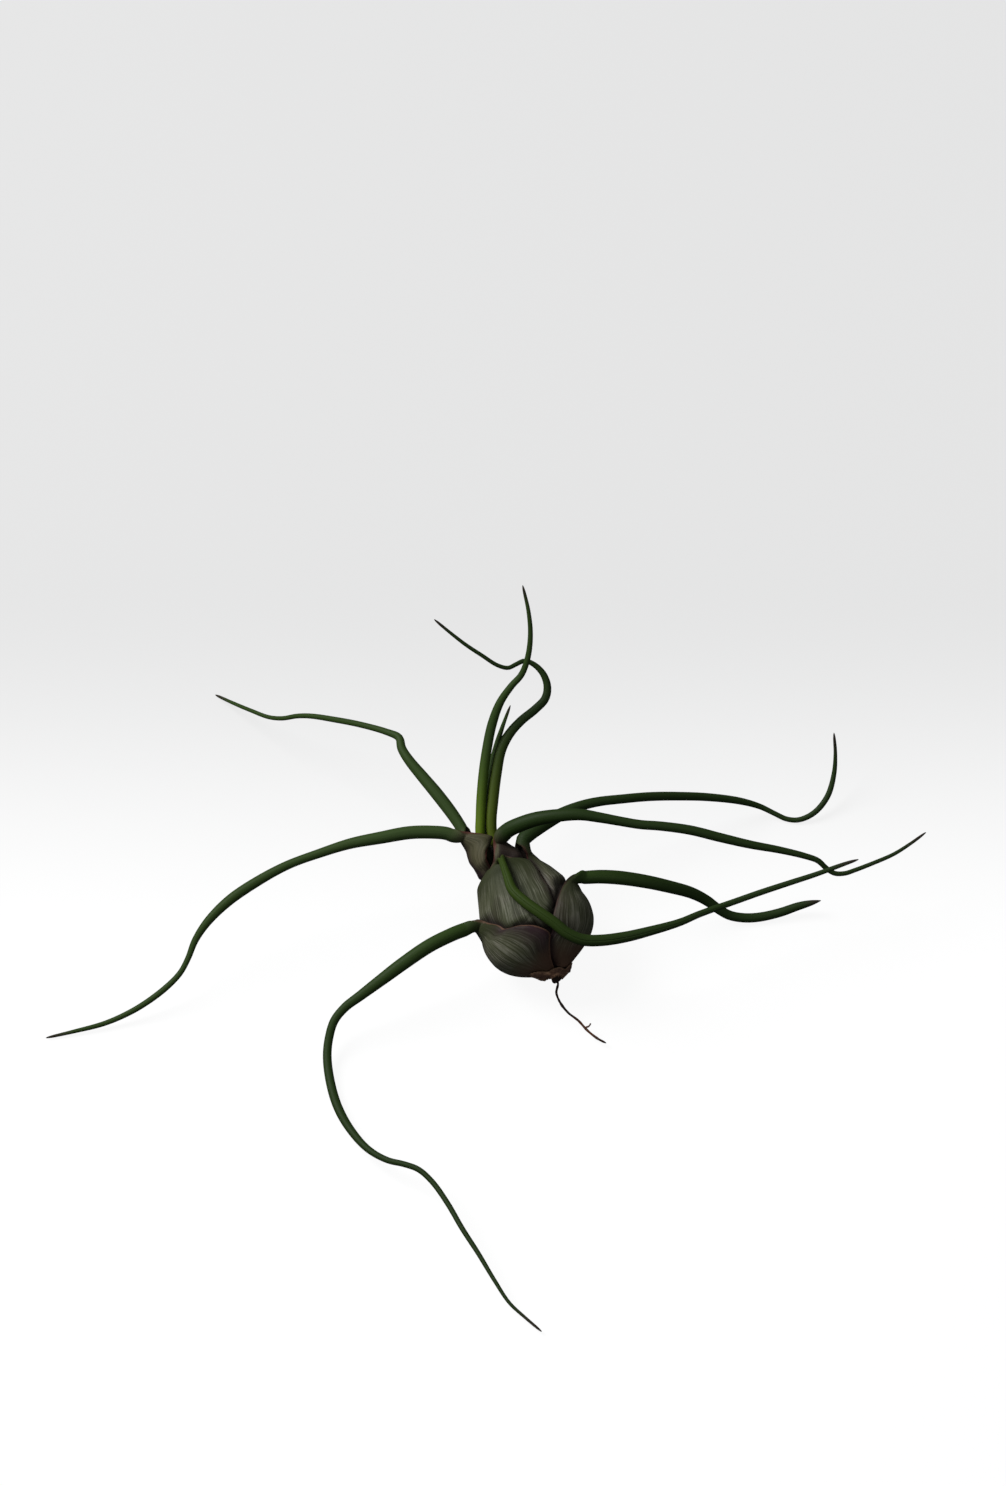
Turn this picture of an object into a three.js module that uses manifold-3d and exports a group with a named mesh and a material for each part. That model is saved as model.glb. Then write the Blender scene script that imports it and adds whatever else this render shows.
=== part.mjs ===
// A bulbous air plant: ten leaves around a short woody stem, with a dry scale at
// the foot and one wiry root. The swollen leaf sheaths nest into the bulb, and
// each sheath narrows into a long rolled blade that wanders off on its own.
//
// Millimetres. The plant is drawn in its own frame (x across, y up, z to its
// front) and then leans back, so that it rests on the back of the bulb and on the
// low bends and tips of its outer leaves. The finished part has +Z up and its
// origin on the small flat under the bulb.
import * as THREE from "three";
import { mergeVertices } from "three/addons/utils/BufferGeometryUtils.js";
import Module from "manifold-3d";

const wasm = await Module();
wasm.setup();

// ---- Driving dimensions ----------------------------------------------------
const FOOT = new THREE.Vector3(5.2, -15.5, 2.4); // where the bulb's axis starts
const NECK = new THREE.Vector3(-13.9, 21, -4.6); // where it leaves the bulb
const LEAN_BACK = 35; // degrees
const REST_FLAT_DEPTH = 0.25; // the bulb is flattened this much where it rests
const GAP = 0.35; // between neighbouring sheaths
const CLEARANCE = 0.12; // cut away where a leaf squeezes past another
const SHEATH_WALL = 0.9;
const BLADE_WALL = 1.05;
const FILL_OUT = 2.6; // past a margin, the sheath below swells out over this far
const SETTLE = 9; // and the sheaths further in follow over this far
const NODE_SPACING = 1; // between the lowest rings where sheaths leave the stem
const FLARE = 2.2; // mm outward for each mm upward
const LEAST_CLIMB = 0.1; // of a height, also where a sheath lies deep under others
const LIP = 0.1; // a sheath stays tucked under another's margin this far
const MARGIN_THINNING = 0.3; // share of the wall that is gone at a margin
const WALL_SHARE = 0.8; // of a blade's radius that its wall may take
const CURL_BIAS = 1.5; // the roll tightens late
const NARROWED_BY = 0.7; // share of the curl where the strip has its blade width
const PROBE = 0.1; // half the length over which a slope is measured
const MARGIN_PROBE = 0.5; // and the length for the slant of a margin
const ROOT_DIAMETER = 0.8;
const ROOT_TAPER = 0.3; // share of its thickness that a root loses to its tip
const FORK_SHARE = 0.75; // of the root's diameter
const WELD = 1e-4; // corners closer than this are one
const ACROSS = new THREE.Vector3(1, 0, 0);

// The outer envelope of the bulb and its neck: [height along the axis, radius].
const ENVELOPE = [
  [-1, 1.8],
  [0, 3.1],
  [1.2, 4.9],
  [2.6, 7.7],
  [4, 10.2],
  [5.4, 12.1],
  [7, 13.6],
  [9, 14.8],
  [11, 15.4],
  [13.5, 15.7],
  [16, 15.4],
  [18.5, 14.6],
  [21.6, 13.3],
  [24.6, 12],
  [27.1, 10.9],
  [29.8, 9.5],
  [33, 7.8],
  [35.5, 6.5],
  [38, 5.6],
  [42, 4.8],
  [48, 4.3],
];
// The stem inside: [height, radius].
const STEM = [
  [-2.1, 0.9],
  [-1.5, 1.8],
  [-0.4, 2.4],
  [11, 2.4],
  [15, 1.9],
  [16.5, 0.8],
];
// The axis bows to the plant's right: [height, offset].
const BOW = [
  [-2.1, -1.7],
  [-0.4, -0.4],
  [5, 0.2],
  [12, 0.3],
  [26, 0.2],
  [30, -0.2],
  [33, -0.4],
  [35.5, -1.1],
  [38, -2.3],
  [42, -2.2],
  [48, -1.2],
];

// ---- Colours ---------------------------------------------------------------
const finish = (color, roughness) =>
  new THREE.MeshStandardMaterial({ color, roughness, metalness: 0 });
const OUTER_LEAF = finish(0x4a5a3c, 0.6);
const CENTRE_LEAF = finish(0x6d8a35, 0.5);
const BARK = finish(0x4b3324, 0.9);
const DRY_SCALE = finish(0x8a6a4e, 0.85);

// ---- Small helpers ---------------------------------------------------------
const radians = THREE.MathUtils.degToRad;
const mix = THREE.MathUtils.lerp;
const smooth = THREE.MathUtils.smoothstep; // (x, from, to) => 0..1
const vector = (point) => new THREE.Vector3(...point);

// A smooth function through [x, y] pairs, level beyond its ends.
function through(pairs) {
  const last = pairs.length - 1;
  const slopes = pairs.map((_, i) => {
    const a = pairs[Math.max(i - 1, 0)];
    const b = pairs[Math.min(i + 1, last)];
    return (b[1] - a[1]) / (b[0] - a[0]);
  });
  return (x) => {
    if (x <= pairs[0][0]) return pairs[0][1];
    if (x >= pairs[last][0]) return pairs[last][1];
    const i = pairs.findIndex((pair) => pair[0] > x) - 1;
    const span = pairs[i + 1][0] - pairs[i][0];
    const u = (x - pairs[i][0]) / span;
    return (
      pairs[i][1] * (1 + 2 * u) * (1 - u) ** 2 +
      slopes[i] * span * u * (1 - u) ** 2 +
      pairs[i + 1][1] * u * u * (3 - 2 * u) +
      slopes[i + 1] * span * u * u * (u - 1)
    );
  };
}

// ---- The bulb's shape ------------------------------------------------------
const AXIS = NECK.clone().sub(FOOT).normalize();
const FRONT = new THREE.Vector3(0, 0, 1).projectOnPlane(AXIS).normalize();
const RIGHT = AXIS.clone().cross(FRONT);
const envelopeRadius = through(ENVELOPE);
const stemRadius = through(STEM);
const bow = through(BOW);

const outward = (azimuth) =>
  FRONT.clone()
    .multiplyScalar(Math.cos(radians(azimuth)))
    .addScaledVector(RIGHT, Math.sin(radians(azimuth)));

const axisPoint = (height) =>
  FOOT.clone().addScaledVector(AXIS, height).addScaledVector(RIGHT, bow(height));

// The height and radius of the surface that lies `depth` under the envelope.
function inset(height, depth) {
  const rise =
    (envelopeRadius(height + PROBE) - envelopeRadius(height - PROBE)) / (2 * PROBE);
  const slant = Math.hypot(1, rise);
  return {
    height: height + (depth * rise) / slant,
    radius: envelopeRadius(height) - depth / slant,
  };
}

// ---- Leaves ----------------------------------------------------------------
// The leaves are listed from the outermost in.
// sheath: [height, left, middle, right], the azimuths of its left margin, midrib
//   and right margin at each height, in degrees from the plant's front.
// blade: the centre line of the rolled blade, from the mouth of the sheath.
// girth: [share of the blade's length, outer diameter].
// curl: the flat strip rolls up between these lengths along the blade.
const LEAVES = [
  {
    name: "leaf_low_left",
    sheath: [
      [0, -185, -50, -10],
      [3.7, -196, -53, 1],
      [6, -198, -55, 6],
      [8.2, -200, -57, 10],
      [11.7, -200, -60, 0],
      [13.4, -196, -62, -10],
      [14.4, -190, -63, -18],
      [15.3, -182, -65, -31],
      [16.5, -166, -68, -35],
      [18.2, -142, -73, -41],
      [19.5, -116, -77, -51],
      [20.5, -97, -79, -63],
    ],
    blade: [
      [-16.5, -2.7, 1.4],
      [-18.4, -3.3, 2.7],
      [-20.8, -4.1, 4.1],
      [-23.4, -5.1, 5.4],
      [-29.7, -8.2, 7.6],
      [-36.4, -12.7, 8.6],
      [-43.1, -17.7, 8.6],
      [-48.4, -21.7, 8.9],
      [-52.6, -24.9, 8.7],
      [-55.5, -28.5, 8.7],
      [-56.9, -33, 9],
      [-57.4, -38, 10.3],
      [-56.6, -44.7, 13.5],
      [-54.5, -51.7, 18.5],
      [-51, -57.8, 24],
      [-46.2, -63, 29.5],
      [-41.1, -65.8, 33],
      [-36.5, -66.9, 35],
      [-32.7, -68.3, 36.5],
      [-29, -71.6, 38.5],
      [-24.9, -77.3, 42],
      [-20.9, -84.1, 46],
      [-16.6, -90.7, 49.5],
      [-12.3, -97.8, 53],
      [-8.3, -103.8, 55.5],
      [-4.2, -107.6, 57.2],
      [0.4, -111.5, 59.2],
    ],
    girth: [
      [0, 3.8],
      [0.05, 3.8],
      [0.16, 3.6],
      [0.28, 2.4],
      [0.45, 2.5],
      [0.6, 1.7],
      [0.8, 1.4],
      [0.92, 1],
      [1, 0.7],
    ],
    curl: [0, 6],
    finish: OUTER_LEAF,
  },
  {
    name: "leaf_low_right",
    sheath: [
      [0, -16, 74, 165],
      [3.7, -6, 80, 170],
      [5.6, 2, 84, 172],
      [7.5, 12, 86, 174],
      [9.5, 15, 87, 174],
      [12.1, 21, 88, 172],
      [15.5, 32, 86, 156],
      [17, 39, 85, 140],
      [18.3, 46, 83, 124],
      [19.5, 55, 81, 107],
      [20.4, 64, 80, 96],
    ],
    blade: [
      [9.3, 10.1, 1.4],
      [12, 10.1, 0.4],
      [16.2, 10.3, -0.8],
      [21.6, 10, -2.2],
      [28.4, 9, -4.6],
      [35.2, 7.5, -8],
      [40.9, 5.9, -11.4],
      [45.1, 3.8, -14],
      [48.1, 1.6, -15.4],
      [51.3, -0.2, -16.9],
      [55.3, -0.9, -17.8],
      [59.4, -0.7, -18.2],
      [64.8, 0.5, -18.4],
      [70.1, 2.3, -18.2],
      [76, 3.8, -17.3],
    ],
    girth: [
      [0, 3.4],
      [0.06, 3.6],
      [0.2, 3.8],
      [0.45, 3.3],
      [0.6, 2.7],
      [0.8, 2.5],
      [0.93, 2.1],
      [1, 0.7],
    ],
    curl: [0, 5],
    finish: OUTER_LEAF,
  },
  {
    name: "leaf_front",
    sheath: [
      [0, -170, -10, 60],
      [12, -176, -9, 48],
      [16.4, -178, -8, 34],
      [21.4, -178, -6, 38],
      [24.2, -176, -5, 41],
      [27.9, -170, -3, 50],
      [30.2, -154, 0, 57],
      [31.6, -120, 2, 52],
      [32.3, -84, 4, 39],
      [33, -46, 5, 28],
      [33.7, -16, 6, 19],
    ],
    blade: [
      [-10.8, 15.4, 5.5],
      [-10.5, 15.4, 6.8],
      [-10.2, 14.4, 8.2],
      [-9.6, 12.7, 9.8],
      [-8.8, 10.4, 11.4],
      [-7.4, 6.8, 13.8],
      [-4, 3.5, 16.2],
      [0.5, 0.3, 17.8],
      [4, -2.2, 18.2],
      [7.2, -4.8, 18],
      [11.3, -6.6, 17.2],
      [16.2, -6.8, 16],
      [22.9, -5.9, 14.3],
      [29.6, -4.3, 12.5],
      [37.6, -2, 10],
      [43.1, 0.3, 8],
      [52.5, 3.6, 5],
      [59.3, 6, 3.8],
      [67.5, 8.7, 3],
      [74.3, 10.9, 2.7],
      [82.3, 13.8, 3],
      [86, 15, 3.4],
    ],
    girth: [
      [0, 1.9],
      [0.05, 2],
      [0.12, 2.8],
      [0.2, 3.1],
      [0.4, 3.1],
      [0.6, 1.9],
      [0.8, 1.6],
      [0.95, 1.2],
      [1, 0.7],
    ],
    curl: [0, 4.5],
    finish: OUTER_LEAF,
  },
  {
    name: "leaf_back_right",
    sheath: [
      [0, 45, 115, 185],
      [10, 20, 118, 190],
      [16, 16, 118, 190],
      [22, 22, 116, 188],
      [27, 34, 112, 184],
      [30, 48, 115, 174],
      [31.8, 68, 118, 160],
      [33, 94, 120, 146],
    ],
    blade: [
      [-4.6, 17.8, -7.2],
      [-4.6, 20, -7.6],
      [-2.7, 22, -8.5],
      [0.4, 24.2, -9.8],
      [4.3, 26.4, -11],
      [8.3, 28.4, -11.9],
      [12, 29.7, -13.4],
      [16.2, 30.6, -15],
      [21.6, 31.2, -17],
      [29.7, 31.9, -21],
      [37.8, 32, -25.5],
      [45.9, 31.7, -30],
      [54.1, 30.7, -34],
      [59.6, 29.2, -36.6],
      [63.6, 27.3, -37.3],
      [66.9, 25.8, -37.4],
      [70.3, 25.6, -37.2],
      [74.5, 27.6, -37.1],
      [78, 32, -37.6],
      [79.7, 37.8, -37.6],
      [80.1, 43.2, -36.6],
      [79.7, 49.2, -34.6],
    ],
    girth: [
      [0, 3.5],
      [0.05, 4],
      [0.1, 4.1],
      [0.2, 2.8],
      [0.45, 2.4],
      [0.6, 2],
      [0.7, 1.4],
      [0.85, 1.6],
      [0.95, 1],
      [1, 0.7],
    ],
    curl: [0, 4],
    finish: OUTER_LEAF,
  },
  {
    name: "leaf_front_right",
    sheath: [
      [0, -60, 10, 80],
      [20, -60, 12, 82],
      [28, -54, 18, 84],
      [32, -50, 24, 88],
      [34, -32, 29, 90],
      [35.6, -2, 36, 88],
      [37.2, 15, 45, 86],
      [38.2, 28, 52, 82],
      [39, 36, 56, 76],
    ],
    blade: [
      [-10.6, 21, 0],
      [-8.6, 22.9, 1.6],
      [-5.5, 24.4, 3.4],
      [-1, 25.9, 5.2],
      [5.4, 26.9, 6.6],
      [10.8, 27.1, 7],
      [16.1, 26.3, 6.8],
      [21.6, 25.3, 6.4],
      [27, 24.4, 6],
      [32.4, 24, 5.5],
      [40.5, 22.9, 4.5],
      [48.6, 20.9, 3],
      [56.7, 19, 1.5],
      [64.8, 17.5, 0],
      [71.5, 15.9, -1],
      [75.1, 14.6, -1.8],
      [77.3, 12.6, -2.5],
      [79.6, 11.2, -3],
      [82.4, 11.2, -3.4],
      [84.9, 12, -4],
      [90.1, 14, -4.5],
      [95.6, 16.4, -5],
      [100.2, 19.3, -5.5],
      [104.3, 22.3, -6],
    ],
    girth: [
      [0, 4.2],
      [0.05, 4.2],
      [0.1, 4],
      [0.18, 3.4],
      [0.3, 2.6],
      [0.5, 2.6],
      [0.68, 1.8],
      [0.8, 1.3],
      [0.93, 1],
      [1, 0.7],
    ],
    curl: [0, 4],
    finish: OUTER_LEAF,
  },
  {
    name: "leaf_left",
    sheath: [
      [0, -170, -100, -40],
      [20, -165, -96, -40],
      [28, -152, -84, -44],
      [32, -142, -76, -54],
      [34, -136, -70, -45],
      [35.4, -133, -68, -29],
      [37, -131, -67, -9],
      [38.4, -130, -66, 10],
      [39.6, -128, -66, 34],
      [40.4, -126, -66, 52],
      [41.2, -123, -66, 57],
      [42, -118, -66, 42],
      [43, -111, -66, 14],
      [43.8, -106, -66, -6],
      [44.5, -99, -66, -24],
      [45, -93, -66, -38],
    ],
    blade: [
      [-22.8, 21.2, -2.2],
      [-25.4, 22, -1.8],
      [-28.6, 22.3, -1.3],
      [-35.1, 22.2, -0.5],
      [-43.2, 20.8, 0.5],
      [-51.4, 19.2, 1],
      [-59.6, 16.6, 1.5],
      [-68, 13.5, 2],
      [-75.9, 9.3, 2],
      [-83.9, 3.9, 2],
      [-89.7, -1.8, 2],
      [-93.1, -6.9, 1.5],
      [-95, -11.7, 1.5],
      [-97.1, -15.6, 1.5],
      [-100.6, -19.3, 1.5],
      [-105.9, -23.4, 1.7],
      [-111.1, -26.5, 1.9],
      [-117.6, -29.3, 2.2],
      [-125.6, -31.4, 2.9],
      [-133.4, -33.2, 3.6],
    ],
    girth: [
      [0, 3.7],
      [0.05, 3.6],
      [0.15, 3.5],
      [0.33, 2.4],
      [0.5, 2.8],
      [0.66, 1.6],
      [0.75, 1.7],
      [0.9, 1.3],
      [1, 0.7],
    ],
    curl: [0, 4],
    finish: OUTER_LEAF,
  },
  {
    name: "leaf_back_left",
    sheath: [
      [0, -200, -135, -80],
      [20, -200, -135, -80],
      [30, -195, -134, -80],
      [36, -190, -132, -82],
      [40, -178, -130, -84],
      [42, -166, -128, -92],
      [43.4, -156, -126, -98],
    ],
    blade: [
      [-20.7, 22.6, -7.6],
      [-22.2, 25, -8.2],
      [-24.2, 27.9, -8.8],
      [-27.9, 32.7, -9.8],
      [-31.5, 37, -11],
      [-35.6, 42, -12.4],
      [-37.4, 45, -13.6],
      [-38.1, 47.8, -14.8],
      [-41.5, 49.4, -16.8],
      [-48.7, 51.4, -22],
      [-55.4, 52.7, -28],
      [-62.1, 53.7, -34],
      [-65.9, 53.7, -37.5],
      [-69.7, 53.1, -41],
      [-73.5, 53.4, -45],
      [-78.4, 55.2, -50.2],
      [-83.2, 57.2, -56],
      [-88.2, 59.5, -61.5],
    ],
    girth: [
      [0, 3],
      [0.15, 3.4],
      [0.3, 2.5],
      [0.38, 1.8],
      [0.55, 1.6],
      [0.75, 1.2],
      [0.92, 1],
      [1, 0.7],
    ],
    curl: [0, 4],
    finish: OUTER_LEAF,
  },
  {
    name: "leaf_centre_right",
    sheath: [
      [0, -65, 80, 225],
      [16, -65, 80, 225],
      [23, -42, 80, 202],
      [28, 0, 80, 160],
      [31, 28, 80, 132],
    ],
    blade: [
      [-8.8, 15.2, -3.2],
      [-11, 18, -4.4],
      [-12.8, 21, -5.1],
      [-13.3, 25, -5.6],
      [-12.8, 31, -6.4],
      [-11.9, 38, -7.2],
      [-10.6, 44.4, -7.8],
      [-8.3, 48.8, -8.4],
      [-5.1, 52.4, -9],
      [-1.3, 55.5, -9.6],
      [1.4, 58.4, -10],
      [2, 61.6, -10.2],
      [0.9, 65, -10],
      [-1.6, 67.6, -9.4],
      [-4.2, 68.6, -8.6],
      [-6.4, 67.7, -7.8],
      [-8.6, 66.7, -7],
      [-11.5, 67.4, -6],
      [-15.6, 70, -4.6],
      [-20, 72.9, -3.2],
      [-24.4, 76.3, -2],
      [-28.6, 79.8, -1],
    ],
    girth: [
      [0, 2.9],
      [0.12, 3],
      [0.2, 3.2],
      [0.35, 3],
      [0.45, 2.5],
      [0.58, 2.2],
      [0.7, 1.3],
      [0.9, 1],
      [1, 0.7],
    ],
    curl: [0, 6],
    finish: CENTRE_LEAF,
  },
  {
    name: "leaf_centre_left",
    sheath: [
      [0, -225, -100, 25],
      [16, -225, -100, 25],
      [23, -205, -100, 5],
      [28, -175, -100, -25],
      [31.4, -146, -100, -54],
    ],
    blade: [
      [-13.4, 14.8, -3.9],
      [-15.6, 18.5, -4.2],
      [-16.2, 22.5, -4.4],
      [-16.1, 26, -4.8],
      [-15.9, 31, -5.4],
      [-15.3, 38, -6.1],
      [-14.4, 44.4, -6.3],
      [-13, 51.3, -6],
      [-10.8, 57.3, -4.8],
      [-7.8, 61.7, -3.6],
      [-5, 64.9, -2.6],
      [-3.3, 69.5, -1.2],
      [-2.6, 75.6, 0.4],
      [-3.1, 81.8, 2],
      [-4.7, 89, 3.6],
    ],
    girth: [
      [0, 2.5],
      [0.15, 2.6],
      [0.5, 2.6],
      [0.65, 1.9],
      [0.8, 1.5],
      [0.92, 1.1],
      [1, 0.7],
    ],
    curl: [0, 6],
    finish: CENTRE_LEAF,
  },
  {
    name: "leaf_heart",
    sheath: [
      [0, 100, 180, 260],
      [16, 100, 180, 260],
      [25, 130, 180, 230],
    ],
    blade: [
      [-8.8, 11.7, -2.9],
      [-11, 15, -3.8],
      [-12.9, 17.6, -5],
      [-14, 20.5, -6.8],
      [-14.5, 24.5, -7.8],
      [-14.3, 33, -9],
      [-13.1, 40, -10.2],
      [-11.7, 45.8, -10.6],
      [-10.2, 50.6, -10.2],
      [-8, 56.6, -9.4],
    ],
    girth: [
      [0, 1.5],
      [0.3, 1.6],
      [0.6, 1.9],
      [0.8, 1.6],
      [0.92, 1],
      [1, 0.7],
    ],
    curl: [0, 7],
    finish: CENTRE_LEAF,
  },
];
const SHEATH_ROW = 2.4; // spacing of the rows in a sheath
const INNER_ROW = 0.5; // at least this times the sheath's place from the outside
const ROW_APART = 0.6; // rows rise at least this far on the midrib
const LISTED_CLEAR = 1; // even rows keep this far from the listed heights
LEAVES.forEach((leaf, i) => {
  leaf.foot = NODE_SPACING * Math.max(i - 0.5, 0) ** 1.2;
  [leaf.left, leaf.middle, leaf.right] = [1, 2, 3].map((k) =>
    through(leaf.sheath.map((row) => [row[0], row[k]])),
  );
  leaf.top = leaf.sheath.at(-1)[0];
  leaf.rowStep = Math.max(SHEATH_ROW, INNER_ROW * i);
});

// How far the blades are rolled: [share of the length, half angle of the roll].
const ROLL = through([
  [0, 110],
  [0.1, 140],
  [0.35, 150],
  [1, 155],
]);
const SHEATH_TURN = 25; // widest turn of a column
const BLADE_HALF_COLUMNS = 3;
const BEND_SHARE = 0.5; // of the turn at the mouth that the blade takes up
const CURL_ROWS = 4; // rows where it rolls up
const BLADE_STEP = 11; // longest step between the rows beyond
const BLADE_TURN = 26; // degrees that a blade may turn between two rows
const CURVE_STEPS = 600;

// How far, in mm, a place on the bulb lies past the nearest margin of a sheath:
// negative under the sheath.
function pastMargin(leaf, height, azimuth) {
  const level = Math.min(height, leaf.top);
  const turn = THREE.MathUtils.euclideanModulo(azimuth - leaf.middle(level) + 180, 360) - 180;
  const margin = turn < 0 ? leaf.left : leaf.right;
  const reach = (at) => Math.abs(margin(at) - leaf.middle(at));
  const perDegree = radians(1) * envelopeRadius(level);
  const slope = ((reach(level) - reach(level - MARGIN_PROBE)) * perDegree) / MARGIN_PROBE;
  const across = ((Math.abs(turn) - reach(level)) * perDegree) / Math.hypot(1, slope);
  const above = height - level;
  return above > 0 ? Math.hypot(above, Math.max(across, 0)) : across;
}

// The middle of a sheath's wall at a place on the bulb. It lies under the sheaths
// that cover that place, fills out to the envelope where it is bare, and flares
// up from its own ring round the stem.
function sheathPoint(leaf, height, azimuth) {
  const outer = LEAVES.slice(0, LEAVES.indexOf(leaf));
  const past = outer.map((other) => pastMargin(other, height, azimuth));
  const layers = past.reduce((sum, distance) => sum + 1 - smooth(distance, LIP, SETTLE), 0);
  const ramp = FILL_OUT * Math.max(1, layers / 2);
  const bare = Math.min(1, ...past.map((distance) => smooth(distance, LIP, ramp)));
  const depth = (1 - bare) * layers * (SHEATH_WALL + GAP) + SHEATH_WALL / 2;
  const face = inset(height, depth);
  const climb = Math.max(face.height - leaf.foot, LEAST_CLIMB * height);
  const core = stemRadius(leaf.foot + climb) + GAP + SHEATH_WALL / 2;
  const radius = THREE.MathUtils.clamp(face.radius, core, core + FLARE * climb);
  return {
    point: axisPoint(leaf.foot + climb).addScaledVector(outward(azimuth), radius),
    radius,
    climb,
    free: face.height >= leaf.foot,
  };
}

// Rows of a sheath, from where it leaves the stem up to its mouth. wallAt gives
// the middle of the wall, from -1 at the left margin to 1 at the right margin.
function sheathRows(leaf) {
  let low = 0;
  while (!sheathPoint(leaf, low, leaf.middle(low)).free) low += PROBE;
  const steps = Math.ceil((leaf.top - low) / leaf.rowStep);
  const even = Array.from({ length: steps }, (_, i) => mix(low, leaf.top, i / steps));
  const listed = leaf.sheath.map((row) => row[0]).filter((height) => height > low + LISTED_CLEAR);
  const clear = (height) => listed.every((other) => Math.abs(height - other) > LISTED_CLEAR);
  const heights = [...even.filter(clear), ...listed];
  let reached = -Infinity;
  const apart = (height) => {
    const { climb } = sheathPoint(leaf, height, leaf.middle(height));
    if (climb < reached + ROW_APART) return false;
    reached = climb;
    return true;
  };
  return heights
    .sort((a, b) => a - b)
    .filter(apart)
    .map((height) => {
      const [left, middle, right] = [leaf.left, leaf.middle, leaf.right].map((f) => f(height));
      const { radius } = sheathPoint(leaf, height, middle);
      const normal = outward(middle);
      return {
        normal,
        side: AXIS.clone().cross(normal),
        radius,
        halves: [middle - left, right - middle].map((turn) => radians(turn) * radius),
        wall: SHEATH_WALL,
        wallAt: (q) =>
          sheathPoint(leaf, height, q < 0 ? mix(middle, left, -q) : mix(middle, right, q)).point,
      };
    });
}

// Rows of a blade: the curve runs on from the sheath's last rows, the frame is
// carried along it without twisting, and the flat strip curls up into a roll.
function bladeRows(leaf, sheath) {
  const [before, last] = sheath.slice(-2);
  const mouth = last.wallAt(0);
  const route = leaf.blade.map(vector);
  const rising = mouth.clone().sub(before.wallAt(0)).normalize();
  const leaving = route[0].clone().sub(mouth);
  const lead = leaving.clone().addScaledVector(rising, BEND_SHARE * leaving.length());
  const curve = new THREE.CatmullRomCurve3(
    [mouth.clone().sub(lead), mouth, ...route],
    false,
    "centripetal",
  );
  const points = curve.getSpacedPoints(CURVE_STEPS);
  const whole = curve.getLength();
  const step = whole / CURVE_STEPS;
  const start = points.reduce(
    (best, point, i) =>
      point.distanceTo(mouth) < points[best].distanceTo(mouth) ? i : best,
    0,
  );
  const tangent = (i) =>
    points[Math.min(i + 1, CURVE_STEPS)].clone().sub(points[Math.max(i - 1, 0)]).normalize();
  const girth = through(leaf.girth);
  const length = whole - start * step;

  const rows = [];
  const bend = new THREE.Quaternion().setFromUnitVectors(rising, tangent(start));
  let normal = last.normal.clone().applyQuaternion(bend);
  let pace = 0;
  for (let i = start + 1; i <= CURVE_STEPS; i++) {
    const [was, now] = [tangent(i - 1), tangent(i)];
    const turn = new THREE.Quaternion().setFromUnitVectors(was, now);
    normal = normal.applyQuaternion(turn).projectOnPlane(now).normalize();
    const gone = (i - start) * step;
    pace +=
      gone < leaf.curl[1]
        ? (step * CURL_ROWS) / leaf.curl[1]
        : step / BLADE_STEP + was.angleTo(now) / radians(BLADE_TURN);
    if (pace < 1 && i < CURVE_STEPS) continue;
    pace = 0;
    const share = gone / length;
    const outer = girth(share) / 2;
    const wall = Math.min(BLADE_WALL, WALL_SHARE * outer);
    const rolled = outer - wall / 2;
    const curl = smooth(gone, ...leaf.curl);
    const radius = 1 / mix(1 / last.radius, 1 / rolled, curl ** CURL_BIAS);
    const narrowing = smooth(gone, 0, NARROWED_BY * leaf.curl[1]);
    const halves = last.halves.map((half) =>
      mix(half, radians(ROLL(share)) * rolled, narrowing),
    );
    const centre = points[i]
      .clone()
      .addScaledVector(normal, rolled * curl - radius);
    const [front, side] = [normal.clone(), now.clone().cross(normal)];
    rows.push({
      normal: front,
      side,
      radius,
      halves,
      wall: mix(last.wall, wall, curl),
      wallAt: (q) => {
        const angle = (q * halves[q < 0 ? 0 : 1]) / radius;
        return centre
          .clone()
          .addScaledVector(front, radius * Math.cos(angle))
          .addScaledVector(side, radius * Math.sin(angle));
      },
    });
  }
  return rows;
}

// Places across a leaf, from -1 at the left margin over the midrib to 1 at the
// right margin.
const places = (left, right) => [
  ...Array.from({ length: left }, (_, k) => k / left - 1),
  ...Array.from({ length: right + 1 }, (_, k) => k / right),
];

const NEARBY = 0.02; // step across a leaf for the direction of its wall
// The outer and inner face of a row, from its left to its right margin. The wall
// thins towards both margins. Clearance makes the row thicker and wider.
function rowFaces(rows, i, across, clearance) {
  const row = rows[i];
  const ahead = rows[Math.min(i + 1, rows.length - 1)];
  const behind = rows[Math.max(i - 1, 0)];
  const sides = across.map((q) => {
    const middle = row.wallAt(q);
    const along = row
      .wallAt(Math.min(q + NEARBY, 1))
      .sub(row.wallAt(Math.max(q - NEARBY, -1)))
      .normalize();
    const normal = along.clone().cross(ahead.wallAt(q).sub(behind.wallAt(q))).normalize();
    const angle = (q * row.halves[q < 0 ? 0 : 1]) / row.radius;
    const facing = row.normal
      .clone()
      .multiplyScalar(Math.cos(angle))
      .addScaledVector(row.side, Math.sin(angle));
    if (normal.dot(facing) < 0) normal.negate();
    if (Math.abs(q) === 1) middle.addScaledVector(along, q * clearance);
    const half = (row.wall / 2) * (1 - MARGIN_THINNING * q ** 4) + clearance;
    return { middle, normal, half };
  });
  const face = (way) =>
    sides.map(({ middle, normal, half }) => middle.clone().addScaledVector(normal, way * half));
  return { across, outer: face(1), inner: face(-1) };
}

function facets(points, faces) {
  const geometry = new THREE.BufferGeometry();
  const positions = points.flatMap((point) => point.toArray());
  geometry.setAttribute("position", new THREE.Float32BufferAttribute(positions, 3));
  geometry.setIndex(faces);
  return geometry;
}

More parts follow.
